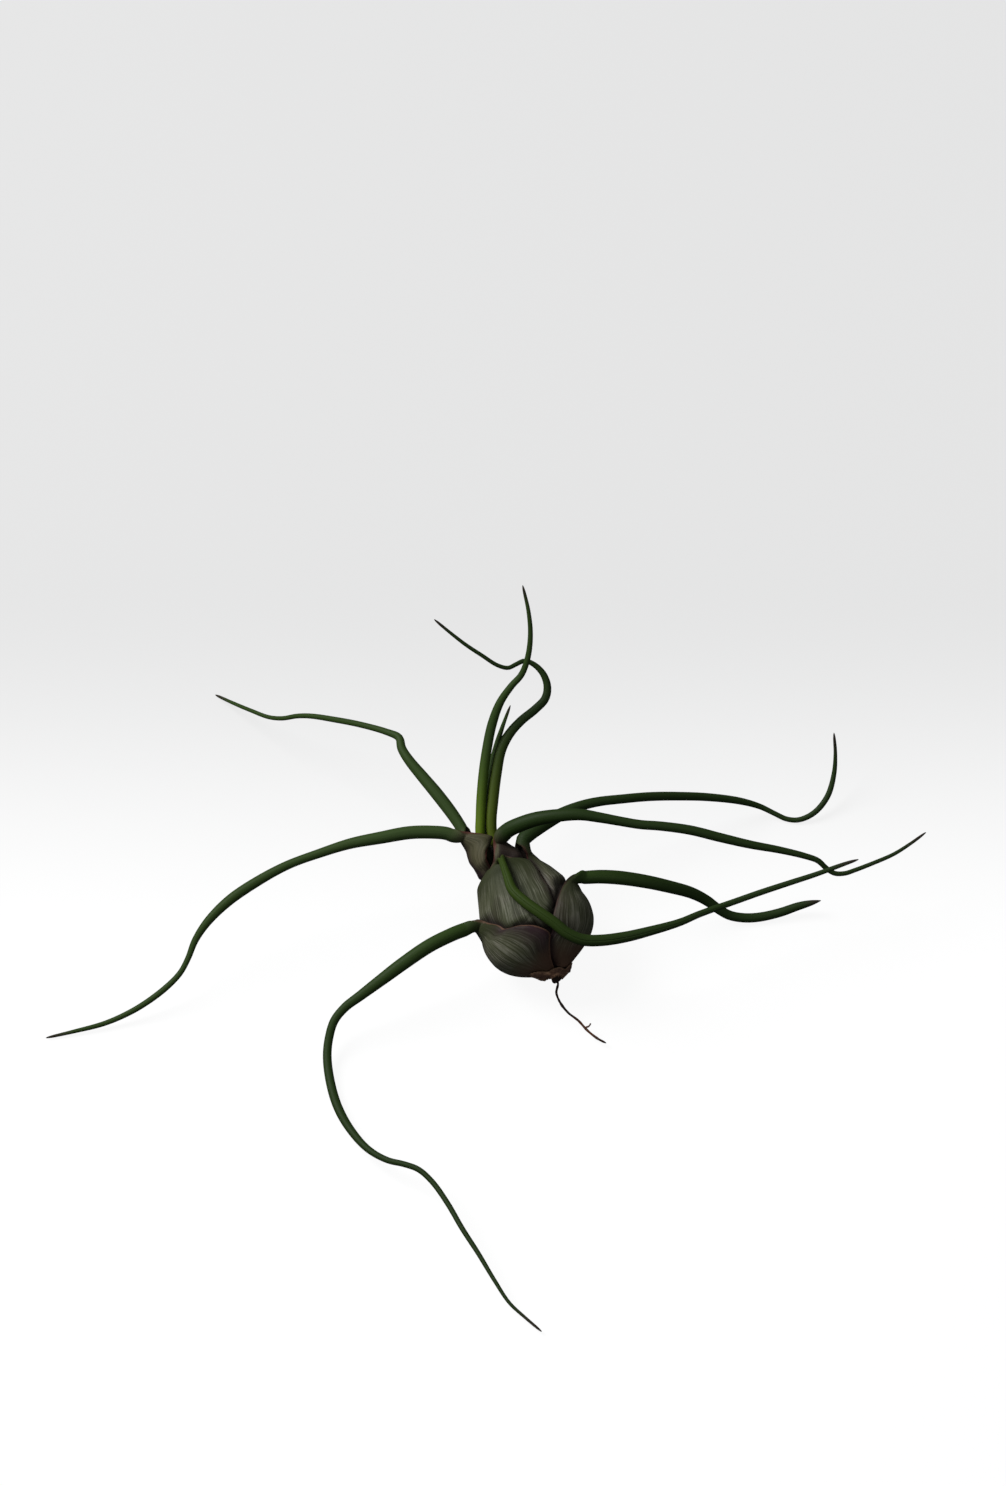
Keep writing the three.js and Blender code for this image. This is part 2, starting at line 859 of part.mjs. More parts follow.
// A closed skin over rows with an outer and an inner face. Both faces are split
// into triangles alike, also where the next row has fewer places across.
function sheetSkin(rows) {
  const starts = rows.reduce((list, row) => [...list, list.at(-1) + 2 * row.across.length], [0]);
  const outer = (r, k) => starts[r] + k;
  const inner = (r, k) => starts[r] + rows[r].across.length + k;
  const faces = [];
  const quad = (a, b, c, d) => faces.push(a, b, c, a, c, d);
  rows.slice(1).forEach((next, r) => {
    const [lower, upper] = [rows[r].across, next.across];
    const [ends, tops] = [lower.length - 1, upper.length - 1];
    let [i, j] = [0, 0];
    while (i < ends || j < tops) {
      const stepLow = j === tops || (i < ends && lower[i + 1] <= upper[j + 1]);
      const third = stepLow ? [r, i + 1] : [r + 1, j + 1];
      const corners = [[r, i], third, [r + 1, j]];
      faces.push(...corners.map((at) => outer(...at)));
      faces.push(...corners.reverse().map((at) => inner(...at)));
      if (stepLow) i++;
      else j++;
    }
    quad(outer(r, 0), outer(r + 1, 0), inner(r + 1, 0), inner(r, 0));
    quad(outer(r, ends), inner(r, ends), inner(r + 1, tops), outer(r + 1, tops));
  });
  const cap = (r, towards) => {
    for (let k = 0; k + 1 < rows[r].across.length; k++) {
      const ring = [outer(r, k), inner(r, k), inner(r, k + 1), outer(r, k + 1)];
      quad(...(towards < 0 ? ring : ring.reverse()));
    }
  };
  cap(0, -1);
  cap(rows.length - 1, 1);
  return facets(rows.flatMap((row) => [...row.outer, ...row.inner]), faces);
}

// A closed skin over rings of equal counts.
function tubeSkin(rings) {
  const count = rings[0].length;
  const faces = [];
  for (let k = 0; k < count; k++) {
    const next = (k + 1) % count;
    for (let r = 0; r + 1 < rings.length; r++) {
      const [low, high] = [r * count, (r + 1) * count];
      faces.push(low + k, low + next, high + next, low + k, high + next, high + k);
    }
    const last = (rings.length - 1) * count;
    if (k > 0 && k + 1 < count) faces.push(0, k + 1, k, last, last + k, last + k + 1);
  }
  return facets(rings.flat(), faces);
}

function sheathPlaces(leaf) {
  const columns = [leaf.left, leaf.right].map((margin) => {
    const turns = leaf.sheath.map(([height]) => Math.abs(margin(height) - leaf.middle(height)));
    return Math.ceil(Math.max(...turns) / SHEATH_TURN);
  });
  return places(...columns);
}

const BLADE_PLACES = places(BLADE_HALF_COLUMNS, BLADE_HALF_COLUMNS);
function leafFaces(leaf, clearance = 0) {
  const sheath = sheathRows(leaf);
  const rows = [...sheath, ...bladeRows(leaf, sheath)];
  const wide = sheathPlaces(leaf);
  return rows.map((_, i) =>
    rowFaces(rows, i, i <= sheath.length ? wide : BLADE_PLACES, clearance),
  );
}

// ---- Stem, scale and root --------------------------------------------------
const STEM_SIDES = 14;
const stemGeometry = () =>
  tubeSkin(
    STEM.map(([height, radius]) =>
      Array.from({ length: STEM_SIDES }, (_, k) =>
        axisPoint(height).addScaledVector(outward((360 * k) / STEM_SIDES), radius),
      ),
    ),
  );

// The dry scale hugs the foot from outside: [azimuth, lower rim, upper rim].
const SCALE = [
  [-115, 0.6, 1.1],
  [-90, 0, 1.8],
  [-60, -0.6, 2.9],
  [-45, -0.9, 2.5],
  [-30, -1, 1.3],
  [-12, -1.1, 1.2],
  [10, -1.2, 0.9],
  [38, -1.6, 0.1],
  [60, -1.5, 0.5],
  [75, -0.9, 0.9],
  [92, -1.1, 0.5],
  [108, -0.7, 0.1],
];
const SCALE_WALL = 0.7;
const SCALE_SPLIT = 2; // columns between two listed azimuths
const SCALE_TUCK = 0.8; // mm inward for each mm below the foot
function scaleGeometry() {
  const [lower, upper] = [1, 2].map((k) => through(SCALE.map((row) => [row[0], row[k]])));
  const first = SCALE[0][0];
  const last = SCALE.at(-1)[0];
  const columns = SCALE_SPLIT * (SCALE.length - 1);
  const across = places(1, 1);
  const face = (azimuth, depth) =>
    across.map((q) => {
      const height = mix(lower(azimuth), upper(azimuth), (q + 1) / 2);
      const place = inset(Math.max(height, 0), depth);
      const dropped = Math.min(height, 0);
      const radius = Math.max(
        place.radius + SCALE_TUCK * dropped,
        stemRadius(height) + GAP - depth,
      );
      return axisPoint(place.height + dropped).addScaledVector(outward(azimuth), radius);
    });
  return sheetSkin(
    Array.from({ length: columns + 1 }, (_, k) => {
      const azimuth = mix(last, first, k / columns);
      return { across, outer: face(azimuth, -GAP - SCALE_WALL), inner: face(azimuth, -GAP) };
    }),
  );
}

const ROOT = [
  [4.7, -18.21, 2.77],
  [4.91, -18.6, 2.84],
  [4.6, -19.8, 2.7],
  [4.4, -21, 2.5],
  [5.4, -23.6, 2.4],
  [7.6, -26.4, 3.2],
  [10.3, -28.5, 3.8],
  [12.8, -31.2, 4.6],
  [15.6, -33.4, 5.4],
  [17.9, -34.6, 6],
];
const ROOT_FORK = [
  [12.1, -30.4, 4.4],
  [13.2, -30, 4.7],
  [13.7, -29.2, 5],
];
const ROOT_SIDES = 6;
const ROOT_STEPS = 18;
const FORK_STEPS = 4;
function strandGeometry(route, diameter, steps) {
  const curve = new THREE.CatmullRomCurve3(route.map(vector), false, "centripetal");
  const frames = curve.computeFrenetFrames(steps, false);
  return tubeSkin(
    curve.getSpacedPoints(steps).map((point, i) =>
      Array.from({ length: ROOT_SIDES }, (_, k) => {
        const angle = radians((360 * k) / ROOT_SIDES);
        const radius = (diameter / 2) * (1 - (ROOT_TAPER * i) / steps);
        return point
          .clone()
          .addScaledVector(frames.normals[i], radius * Math.cos(angle))
          .addScaledVector(frames.binormals[i], radius * Math.sin(angle));
      }),
    ),
  );
}

// ---- The plant -------------------------------------------------------------
function solid(geometry) {
  const merged = mergeVertices(geometry, WELD);
  const vertProperties = new Float32Array(merged.attributes.position.array);
  const triVerts = new Uint32Array(merged.index.array);
  return new wasm.Manifold(new wasm.Mesh({ numProp: 3, vertProperties, triVerts }));
}

const pieces = [];
const add = (name, made, material) => pieces.push({ name, made, material });
const taken = [];
for (const leaf of LEAVES) {
  const whole = taken.reduce((rest, room) => rest.subtract(room), solid(sheetSkin(leafFaces(leaf))));
  const largest = whole.decompose().sort((a, b) => b.volume() - a.volume())[0];
  add(leaf.name, largest, leaf.finish);
  taken.push(solid(sheetSkin(leafFaces(leaf, CLEARANCE))));
}
add("stem", solid(stemGeometry()), BARK);
add("dry_scale", solid(scaleGeometry()), DRY_SCALE);
add(
  "root",
  solid(strandGeometry(ROOT, ROOT_DIAMETER, ROOT_STEPS)).add(
    solid(strandGeometry(ROOT_FORK, FORK_SHARE * ROOT_DIAMETER, FORK_STEPS)),
  ),
  BARK,
);

// The plant leans back until it lies on the lowest corner of its outermost sheath.
// A small flat is cut there as its resting face, with the origin on it.
const lean = (point) => point.clone().applyAxisAngle(ACROSS, radians(LEAN_BACK));
const rest = leafFaces(LEAVES[0])
  .filter((row) => row.across !== BLADE_PLACES)
  .flatMap((row) => row.outer.map(lean))
  .reduce((lowest, point) => (point.z < lowest.z ? point : lowest));
rest.z += REST_FLAT_DEPTH;

const group = new THREE.Group();
for (const { name, made, material } of pieces) {
  const placed = made
    .rotate([LEAN_BACK, 0, 0])
    .translate(rest.clone().negate().toArray())
    .trimByPlane([0, 0, 1], 0);
  const { vertProperties, triVerts } = placed.getMesh();
  const geometry = new THREE.BufferGeometry();
  geometry.setAttribute("position", new THREE.Float32BufferAttribute(vertProperties, 3));
  geometry.setIndex(new THREE.Uint32BufferAttribute(triVerts, 1));
  const mesh = new THREE.Mesh(geometry, material);
  mesh.name = name;
  group.add(mesh);
}
export default group;
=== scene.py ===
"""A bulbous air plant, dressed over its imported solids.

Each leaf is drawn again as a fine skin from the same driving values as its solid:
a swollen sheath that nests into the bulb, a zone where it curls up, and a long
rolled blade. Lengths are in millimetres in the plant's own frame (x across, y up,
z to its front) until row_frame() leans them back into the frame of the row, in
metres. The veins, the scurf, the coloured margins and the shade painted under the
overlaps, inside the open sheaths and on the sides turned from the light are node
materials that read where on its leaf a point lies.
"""

import math

import bpy
import numpy as np
from mathutils import Matrix, Vector


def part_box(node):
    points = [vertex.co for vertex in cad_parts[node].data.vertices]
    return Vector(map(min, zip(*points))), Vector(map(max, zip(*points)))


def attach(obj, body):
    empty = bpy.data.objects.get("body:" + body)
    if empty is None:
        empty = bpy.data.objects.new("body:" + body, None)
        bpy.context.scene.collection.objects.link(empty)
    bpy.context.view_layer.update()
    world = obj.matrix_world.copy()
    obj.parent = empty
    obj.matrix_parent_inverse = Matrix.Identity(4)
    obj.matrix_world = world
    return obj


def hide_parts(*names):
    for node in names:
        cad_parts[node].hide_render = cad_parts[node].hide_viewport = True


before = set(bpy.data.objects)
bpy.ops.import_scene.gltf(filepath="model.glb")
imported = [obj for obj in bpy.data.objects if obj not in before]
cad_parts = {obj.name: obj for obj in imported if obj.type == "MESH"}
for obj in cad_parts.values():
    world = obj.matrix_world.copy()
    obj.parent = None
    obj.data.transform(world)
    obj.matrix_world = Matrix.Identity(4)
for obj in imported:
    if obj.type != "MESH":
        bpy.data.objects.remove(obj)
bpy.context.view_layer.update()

MM = 1000  # in a metre

# ---- Driving values shared with the solids ----------------------------------
FOOT = np.array([5.2, -15.5, 2.4])  # where the bulb's axis starts
NECK = np.array([-13.9, 21, -4.6])  # where it leaves the bulb
LEAN_BACK = math.radians(35)
GAP = 0.35  # between neighbouring sheaths
SHEATH_WALL = 0.9
BLADE_WALL = 1.05
FILL_OUT = 2.6  # past a margin, the sheath below swells out over this far
SETTLE = 9  # and the sheaths further in follow over this far
NODE_SPACING = 1  # between the lowest rings where sheaths leave the stem
NODE_START = 0.5  # places from the outside at which they start to rise
NODE_RISE = 1.2  # power by which the upper rings lie further apart
FLARE = 2.2  # mm outward for each mm upward
LEAST_CLIMB = 0.1  # of a height, also where a sheath lies deep under others
LIP = 0.1  # a sheath stays tucked under another's margin this far
WALL_SHARE = 0.8  # of a blade's radius that its wall may take
CURL_BIAS = 1.5  # the roll tightens late
NARROWED_BY = 0.7  # share of the curl where the strip has its blade width
PROBE = 0.1  # half the length over which a slope is measured
MARGIN_PROBE = 0.5  # and the length for the slant of a margin
BEND_SHARE = 0.5  # of the turn at the mouth that the blade takes up
CURL_ROWS = 4  # rows of the solid where it rolls up
ROOT_DIAMETER = 0.8

# [height along the bulb's axis, radius]
ENVELOPE = [
    (-1, 1.8), (0, 3.1), (1.2, 4.9), (2.6, 7.7), (4, 10.2), (5.4, 12.1), (7, 13.6),
    (9, 14.8), (11, 15.4), (13.5, 15.7), (16, 15.4), (18.5, 14.6), (21.6, 13.3),
    (24.6, 12), (27.1, 10.9), (29.8, 9.5), (33, 7.8), (35.5, 6.5), (38, 5.6),
    (42, 4.8), (48, 4.3),
]
STEM = [(-2.1, 0.9), (-1.5, 1.8), (-0.4, 2.4), (11, 2.4), (15, 1.9), (16.5, 0.8)]
STEM_SIDES = 14
# [height, how far the axis bows to the plant's right]
BOW = [
    (-2.1, -1.7), (-0.4, -0.4), (5, 0.2), (12, 0.3), (26, 0.2), (30, -0.2),
    (33, -0.4), (35.5, -1.1), (38, -2.3), (42, -2.2), (48, -1.2),
]

# The leaves, outermost first.
# sheath: (height, azimuth of its left margin, of its midrib, of its right margin)
# blade: its centre line; girth: (share of its length, outer diameter)
# curl: mm from the mouth over which it rolls up
LEAVES = [
    dict(
        name="leaf_low_left",
        sheath=[
            (0, -185, -50, -10), (3.7, -196, -53, 1), (6, -198, -55, 6), (8.2, -200, -57, 10),
            (11.7, -200, -60, 0), (13.4, -196, -62, -10), (14.4, -190, -63, -18),
            (15.3, -182, -65, -31), (16.5, -166, -68, -35), (18.2, -142, -73, -41),
            (19.5, -116, -77, -51), (20.5, -97, -79, -63),
        ],
        blade=[
            (-16.5, -2.7, 1.4), (-18.4, -3.3, 2.7), (-20.8, -4.1, 4.1), (-23.4, -5.1, 5.4),
            (-29.7, -8.2, 7.6), (-36.4, -12.7, 8.6), (-43.1, -17.7, 8.6), (-48.4, -21.7, 8.9),
            (-52.6, -24.9, 8.7), (-55.5, -28.5, 8.7), (-56.9, -33, 9), (-57.4, -38, 10.3),
            (-56.6, -44.7, 13.5), (-54.5, -51.7, 18.5), (-51, -57.8, 24), (-46.2, -63, 29.5),
            (-41.1, -65.8, 33), (-36.5, -66.9, 35), (-32.7, -68.3, 36.5), (-29, -71.6, 38.5),
            (-24.9, -77.3, 42), (-20.9, -84.1, 46), (-16.6, -90.7, 49.5), (-12.3, -97.8, 53),
            (-8.3, -103.8, 55.5), (-4.2, -107.6, 57.2), (0.4, -111.5, 59.2),
        ],
        girth=[
            (0, 3.8), (0.05, 3.8), (0.16, 3.6), (0.28, 2.4), (0.45, 2.5), (0.6, 1.7),
            (0.8, 1.4), (0.92, 1), (1, 0.7),
        ],
        curl=6,
    ),
    dict(
        name="leaf_low_right",
        sheath=[
            (0, -16, 74, 165), (3.7, -6, 80, 170), (5.6, 2, 84, 172), (7.5, 12, 86, 174),
            (9.5, 15, 87, 174), (12.1, 21, 88, 172), (15.5, 32, 86, 156), (17, 39, 85, 140),
            (18.3, 46, 83, 124), (19.5, 55, 81, 107), (20.4, 64, 80, 96),
        ],
        blade=[
            (9.3, 10.1, 1.4), (12, 10.1, 0.4), (16.2, 10.3, -0.8), (21.6, 10, -2.2),
            (28.4, 9, -4.6), (35.2, 7.5, -8), (40.9, 5.9, -11.4), (45.1, 3.8, -14),
            (48.1, 1.6, -15.4), (51.3, -0.2, -16.9), (55.3, -0.9, -17.8), (59.4, -0.7, -18.2),
            (64.8, 0.5, -18.4), (70.1, 2.3, -18.2), (76, 3.8, -17.3),
        ],
        girth=[
            (0, 3.4), (0.06, 3.6), (0.2, 3.8), (0.45, 3.3), (0.6, 2.7), (0.8, 2.5),
            (0.93, 2.1), (1, 0.7),
        ],
        curl=5,
    ),
    dict(
        name="leaf_front",
        sheath=[
            (0, -170, -10, 60), (12, -176, -9, 48), (16.4, -178, -8, 34), (21.4, -178, -6, 38),
            (24.2, -176, -5, 41), (27.9, -170, -3, 50), (30.2, -154, 0, 57),
            (31.6, -120, 2, 52), (32.3, -84, 4, 39), (33, -46, 5, 28), (33.7, -16, 6, 19),
        ],
        blade=[
            (-10.8, 15.4, 5.5), (-10.5, 15.4, 6.8), (-10.2, 14.4, 8.2), (-9.6, 12.7, 9.8),
            (-8.8, 10.4, 11.4), (-7.4, 6.8, 13.8), (-4, 3.5, 16.2), (0.5, 0.3, 17.8),
            (4, -2.2, 18.2), (7.2, -4.8, 18), (11.3, -6.6, 17.2), (16.2, -6.8, 16),
            (22.9, -5.9, 14.3), (29.6, -4.3, 12.5), (37.6, -2, 10), (43.1, 0.3, 8),
            (52.5, 3.6, 5), (59.3, 6, 3.8), (67.5, 8.7, 3), (74.3, 10.9, 2.7),
            (82.3, 13.8, 3), (86, 15, 3.4),
        ],
        girth=[
            (0, 1.9), (0.05, 2), (0.12, 2.8), (0.2, 3.1), (0.4, 3.1), (0.6, 1.9),
            (0.8, 1.6), (0.95, 1.2), (1, 0.7),
        ],
        curl=4.5,
    ),
    dict(
        name="leaf_back_right",
        sheath=[
            (0, 45, 115, 185), (10, 20, 118, 190), (16, 16, 118, 190), (22, 22, 116, 188),
            (27, 34, 112, 184), (30, 48, 115, 174), (31.8, 68, 118, 160), (33, 94, 120, 146),
        ],
        blade=[
            (-4.6, 17.8, -7.2), (-4.6, 20, -7.6), (-2.7, 22, -8.5), (0.4, 24.2, -9.8),
            (4.3, 26.4, -11), (8.3, 28.4, -11.9), (12, 29.7, -13.4), (16.2, 30.6, -15),
            (21.6, 31.2, -17), (29.7, 31.9, -21), (37.8, 32, -25.5), (45.9, 31.7, -30),
            (54.1, 30.7, -34), (59.6, 29.2, -36.6), (63.6, 27.3, -37.3), (66.9, 25.8, -37.4),
            (70.3, 25.6, -37.2), (74.5, 27.6, -37.1), (78, 32, -37.6), (79.7, 37.8, -37.6),
            (80.1, 43.2, -36.6), (79.7, 49.2, -34.6),
        ],
        girth=[
            (0, 3.5), (0.05, 4), (0.1, 4.1), (0.2, 2.8), (0.45, 2.4), (0.6, 2), (0.7, 1.4),
            (0.85, 1.6), (0.95, 1), (1, 0.7),
        ],
        curl=4,
    ),
    dict(
        name="leaf_front_right",
        sheath=[
            (0, -60, 10, 80), (20, -60, 12, 82), (28, -54, 18, 84), (32, -50, 24, 88),
            (34, -32, 29, 90), (35.6, -2, 36, 88), (37.2, 15, 45, 86), (38.2, 28, 52, 82),
            (39, 36, 56, 76),
        ],
        blade=[
            (-10.6, 21, 0), (-8.6, 22.9, 1.6), (-5.5, 24.4, 3.4), (-1, 25.9, 5.2),
            (5.4, 26.9, 6.6), (10.8, 27.1, 7), (16.1, 26.3, 6.8), (21.6, 25.3, 6.4),
            (27, 24.4, 6), (32.4, 24, 5.5), (40.5, 22.9, 4.5), (48.6, 20.9, 3),
            (56.7, 19, 1.5), (64.8, 17.5, 0), (71.5, 15.9, -1), (75.1, 14.6, -1.8),
            (77.3, 12.6, -2.5), (79.6, 11.2, -3), (82.4, 11.2, -3.4), (84.9, 12, -4),
            (90.1, 14, -4.5), (95.6, 16.4, -5), (100.2, 19.3, -5.5), (104.3, 22.3, -6),
        ],
        girth=[
            (0, 4.2), (0.05, 4.2), (0.1, 4), (0.18, 3.4), (0.3, 2.6), (0.5, 2.6),
            (0.68, 1.8), (0.8, 1.3), (0.93, 1), (1, 0.7),
        ],
        curl=4,
    ),
    dict(
        name="leaf_left",
        sheath=[
            (0, -170, -100, -40), (20, -165, -96, -40), (28, -152, -84, -44),
            (32, -142, -76, -54), (34, -136, -70, -45), (35.4, -133, -68, -29),
            (37, -131, -67, -9), (38.4, -130, -66, 10), (39.6, -128, -66, 34),
            (40.4, -126, -66, 52), (41.2, -123, -66, 57), (42, -118, -66, 42),
            (43, -111, -66, 14), (43.8, -106, -66, -6), (44.5, -99, -66, -24),
            (45, -93, -66, -38),
        ],
        blade=[
            (-22.8, 21.2, -2.2), (-25.4, 22, -1.8), (-28.6, 22.3, -1.3), (-35.1, 22.2, -0.5),
            (-43.2, 20.8, 0.5), (-51.4, 19.2, 1), (-59.6, 16.6, 1.5), (-68, 13.5, 2),
            (-75.9, 9.3, 2), (-83.9, 3.9, 2), (-89.7, -1.8, 2), (-93.1, -6.9, 1.5),
            (-95, -11.7, 1.5), (-97.1, -15.6, 1.5), (-100.6, -19.3, 1.5),
            (-105.9, -23.4, 1.7), (-111.1, -26.5, 1.9), (-117.6, -29.3, 2.2),
            (-125.6, -31.4, 2.9), (-133.4, -33.2, 3.6),
        ],
        girth=[
            (0, 3.7), (0.05, 3.6), (0.15, 3.5), (0.33, 2.4), (0.5, 2.8), (0.66, 1.6),
            (0.75, 1.7), (0.9, 1.3), (1, 0.7),
        ],
        curl=4,
    ),
    dict(
        name="leaf_back_left",
        sheath=[
            (0, -200, -135, -80), (20, -200, -135, -80), (30, -195, -134, -80),
            (36, -190, -132, -82), (40, -178, -130, -84), (42, -166, -128, -92),
            (43.4, -156, -126, -98),
        ],
        blade=[
            (-20.7, 22.6, -7.6), (-22.2, 25, -8.2), (-24.2, 27.9, -8.8), (-27.9, 32.7, -9.8),
            (-31.5, 37, -11), (-35.6, 42, -12.4), (-37.4, 45, -13.6), (-38.1, 47.8, -14.8),
            (-41.5, 49.4, -16.8), (-48.7, 51.4, -22), (-55.4, 52.7, -28), (-62.1, 53.7, -34),
            (-65.9, 53.7, -37.5), (-69.7, 53.1, -41), (-73.5, 53.4, -45), (-78.4, 55.2, -50.2),
            (-83.2, 57.2, -56), (-88.2, 59.5, -61.5),
        ],
        girth=[
            (0, 3), (0.15, 3.4), (0.3, 2.5), (0.38, 1.8), (0.55, 1.6), (0.75, 1.2),
            (0.92, 1), (1, 0.7),
        ],
        curl=4,
    ),
    dict(
        name="leaf_centre_right",
        sheath=[
            (0, -65, 80, 225), (16, -65, 80, 225), (23, -42, 80, 202), (28, 0, 80, 160),
            (31, 28, 80, 132),
        ],
        blade=[
            (-8.8, 15.2, -3.2), (-11, 18, -4.4), (-12.8, 21, -5.1), (-13.3, 25, -5.6),
            (-12.8, 31, -6.4), (-11.9, 38, -7.2), (-10.6, 44.4, -7.8), (-8.3, 48.8, -8.4),
            (-5.1, 52.4, -9), (-1.3, 55.5, -9.6), (1.4, 58.4, -10), (2, 61.6, -10.2),
            (0.9, 65, -10), (-1.6, 67.6, -9.4), (-4.2, 68.6, -8.6), (-6.4, 67.7, -7.8),
            (-8.6, 66.7, -7), (-11.5, 67.4, -6), (-15.6, 70, -4.6), (-20, 72.9, -3.2),
            (-24.4, 76.3, -2), (-28.6, 79.8, -1),
        ],
        girth=[
            (0, 2.9), (0.12, 3), (0.2, 3.2), (0.35, 3), (0.45, 2.5), (0.58, 2.2), (0.7, 1.3),
            (0.9, 1), (1, 0.7),
        ],
        curl=6,
    ),
    dict(
        name="leaf_centre_left",
        sheath=[
            (0, -225, -100, 25), (16, -225, -100, 25), (23, -205, -100, 5),
            (28, -175, -100, -25), (31.4, -146, -100, -54),
        ],
        blade=[
            (-13.4, 14.8, -3.9), (-15.6, 18.5, -4.2), (-16.2, 22.5, -4.4), (-16.1, 26, -4.8),
            (-15.9, 31, -5.4), (-15.3, 38, -6.1), (-14.4, 44.4, -6.3), (-13, 51.3, -6),
            (-10.8, 57.3, -4.8), (-7.8, 61.7, -3.6), (-5, 64.9, -2.6), (-3.3, 69.5, -1.2),
            (-2.6, 75.6, 0.4), (-3.1, 81.8, 2), (-4.7, 89, 3.6),
        ],
        girth=[(0, 2.5), (0.15, 2.6), (0.5, 2.6), (0.65, 1.9), (0.8, 1.5), (0.92, 1.1), (1, 0.7)],
        curl=6,
    ),
    dict(
        name="leaf_heart",
        sheath=[(0, 100, 180, 260), (16, 100, 180, 260), (25, 130, 180, 230)],
        blade=[
            (-8.8, 11.7, -2.9), (-11, 15, -3.8), (-12.9, 17.6, -5), (-14, 20.5, -6.8),
            (-14.5, 24.5, -7.8), (-14.3, 33, -9), (-13.1, 40, -10.2), (-11.7, 45.8, -10.6),
            (-10.2, 50.6, -10.2), (-8, 56.6, -9.4),
        ],
        girth=[(0, 1.5), (0.3, 1.6), (0.6, 1.9), (0.8, 1.6), (0.92, 1), (1, 0.7)],
        curl=7,
    ),
]

# Leaves whose sheaths lie inside the bulb, and those that make its collar.
CENTRE_LEAVES = ("leaf_centre_right", "leaf_centre_left", "leaf_heart")
COLLAR_LEAVES = ("leaf_left", "leaf_front_right", "leaf_back_left")

# ---- Finer than the solids --------------------------------------------------
ROLL = [(0, 166), (0.03, 178), (0.08, 179.8), (1, 179.8)]  # (share of a blade, half angle)
SHEATH_ROW = 0.5  # mm between the rows of a sheath
LEAST_ROW = 0.3  # share of that by which each row climbs at least
SHEATH_COLUMN = 0.62  # mm between its columns where it is widest
CURL_ROW = 0.45
BLADE_ROW = 0.85
BLADE_COLUMNS = 16  # from the midrib to a margin
STEP_BACK = 1.2  # mm below the mouth, from where the way of a sheath is taken
BEND_SMOOTHING = 16  # passes that ease the bend at the mouth
BEND_REACH = 4.5  # mm that they reach to each side of it
BEND_FULL = 0.4  # share of that over which they work in full
KEEL = 1.5  # mm that the midrib of an outer leaf stands out at its mouth
KEEL_REACH = 4.5  # mm to each side of the mouth over which it fades
MARGIN_THIN = 0.3  # share of the wall that is left at the margin of a sheath
SEAM_THIN = 0.99  # and of a rolled blade
MARGIN_TAPER = 1.4  # mm over which it thins on a sheath
SEAM_TAPER = 0.16  # and where the rolled blade closes
TIP_LENGTH = 2.6  # mm over which a blade comes to its point
TIP_ROWS = (0.6, 0.35, 0.18, 0.08, 0.03)  # shares of that left at its last rows
TIP_CLEAR = 0.2  # mm between them and the even rows
LEAST_TIP = 0.08  # share of a blade's girth at its very end
CURVE_STEPS = 1200
PIECE_STEPS = 80  # from each listed point of a curve to the next


# ---- Small helpers ----------------------------------------------------------
def mix(a, b, share):
    return a + (b - a) * share


def smooth(x, start, end):
    t = np.clip((x - start) / (end - start), 0, 1)
    return t * t * (3 - 2 * t)


def unit(vectors):
    length = np.linalg.norm(vectors, axis=-1, keepdims=True)
    return vectors / np.maximum(length, 1e-9)


def hermite(start, end, start_slope, end_slope, u):
    """The cubic from start to end as u goes from 0 to 1, with the slopes that it has there."""
    return (
        start * (1 + 2 * u) * (1 - u) ** 2
        + start_slope * u * (1 - u) ** 2
        + end * u * u * (3 - 2 * u)
        + end_slope * u * u * (u - 1)
    )


def through(pairs):
    """A smooth function through (x, y) pairs, level beyond its ends."""
    x, y = np.array(pairs, float).T
    order = np.arange(len(x))
    before = np.maximum(order - 1, 0)
    after = np.minimum(order + 1, len(x) - 1)
    slopes = (y[after] - y[before]) / (x[after] - x[before])

    def at(values):
        values = np.clip(values, x[0], x[-1])
        k = np.clip(np.searchsorted(x, values, side="right") - 1, 0, len(x) - 2)
        span = x[k + 1] - x[k]
        u = (values - x[k]) / span
        return hermite(y[k], y[k + 1], slopes[k] * span, slopes[k + 1] * span, u)

    return at


def column(table, k):
    """A table's column k as a smooth function of its first one."""
    return through([(row[0], row[k]) for row in table])


AXIS = unit(NECK - FOOT)
FRONT = unit(np.array([0, 0, 1.0]) - AXIS * AXIS[2])
RIGHT = np.cross(AXIS, FRONT)
envelope_radius = through(ENVELOPE)
stem_radius = through(STEM)
bow = through(BOW)
roll = through(ROLL)


def outward(azimuth):
    angle = np.radians(azimuth)[..., None]
    return FRONT * np.cos(angle) + RIGHT * np.sin(angle)


def axis_point(height):
    height = np.asarray(height, float)
    return FOOT + AXIS * height[..., None] + RIGHT * bow(height)[..., None]


def inset(height, depth):
    """The height and radius of the surface that lies `depth` under the envelope."""
    rise = (envelope_radius(height + PROBE) - envelope_radius(height - PROBE)) / (2 * PROBE)
    slant = np.hypot(1, rise)
    return height + depth * rise / slant, envelope_radius(height) - depth / slant


def leaned(points):
    """Plant frame to the leaned frame, both in mm."""
    x, y, z = np.moveaxis(np.asarray(points, float), -1, 0)
    cos, sin = math.cos(LEAN_BACK), math.sin(LEAN_BACK)
    return np.stack([x, cos * y - sin * z, sin * y + cos * z], axis=-1)


def stem_rings(table, sides):
    azimuth = np.arange(sides) * 360 / sides
    return [axis_point(height) + outward(azimuth) * radius for height, radius in table]


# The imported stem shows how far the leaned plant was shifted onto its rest.
REST = leaned(np.concatenate(stem_rings(STEM, STEM_SIDES))).min(axis=0)
REST = REST - MM * np.array(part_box("stem")[0])


def row_frame(points):
    placed = leaned(points) - REST
    placed[..., 2] = np.maximum(placed[..., 2], 0)
    return placed / MM


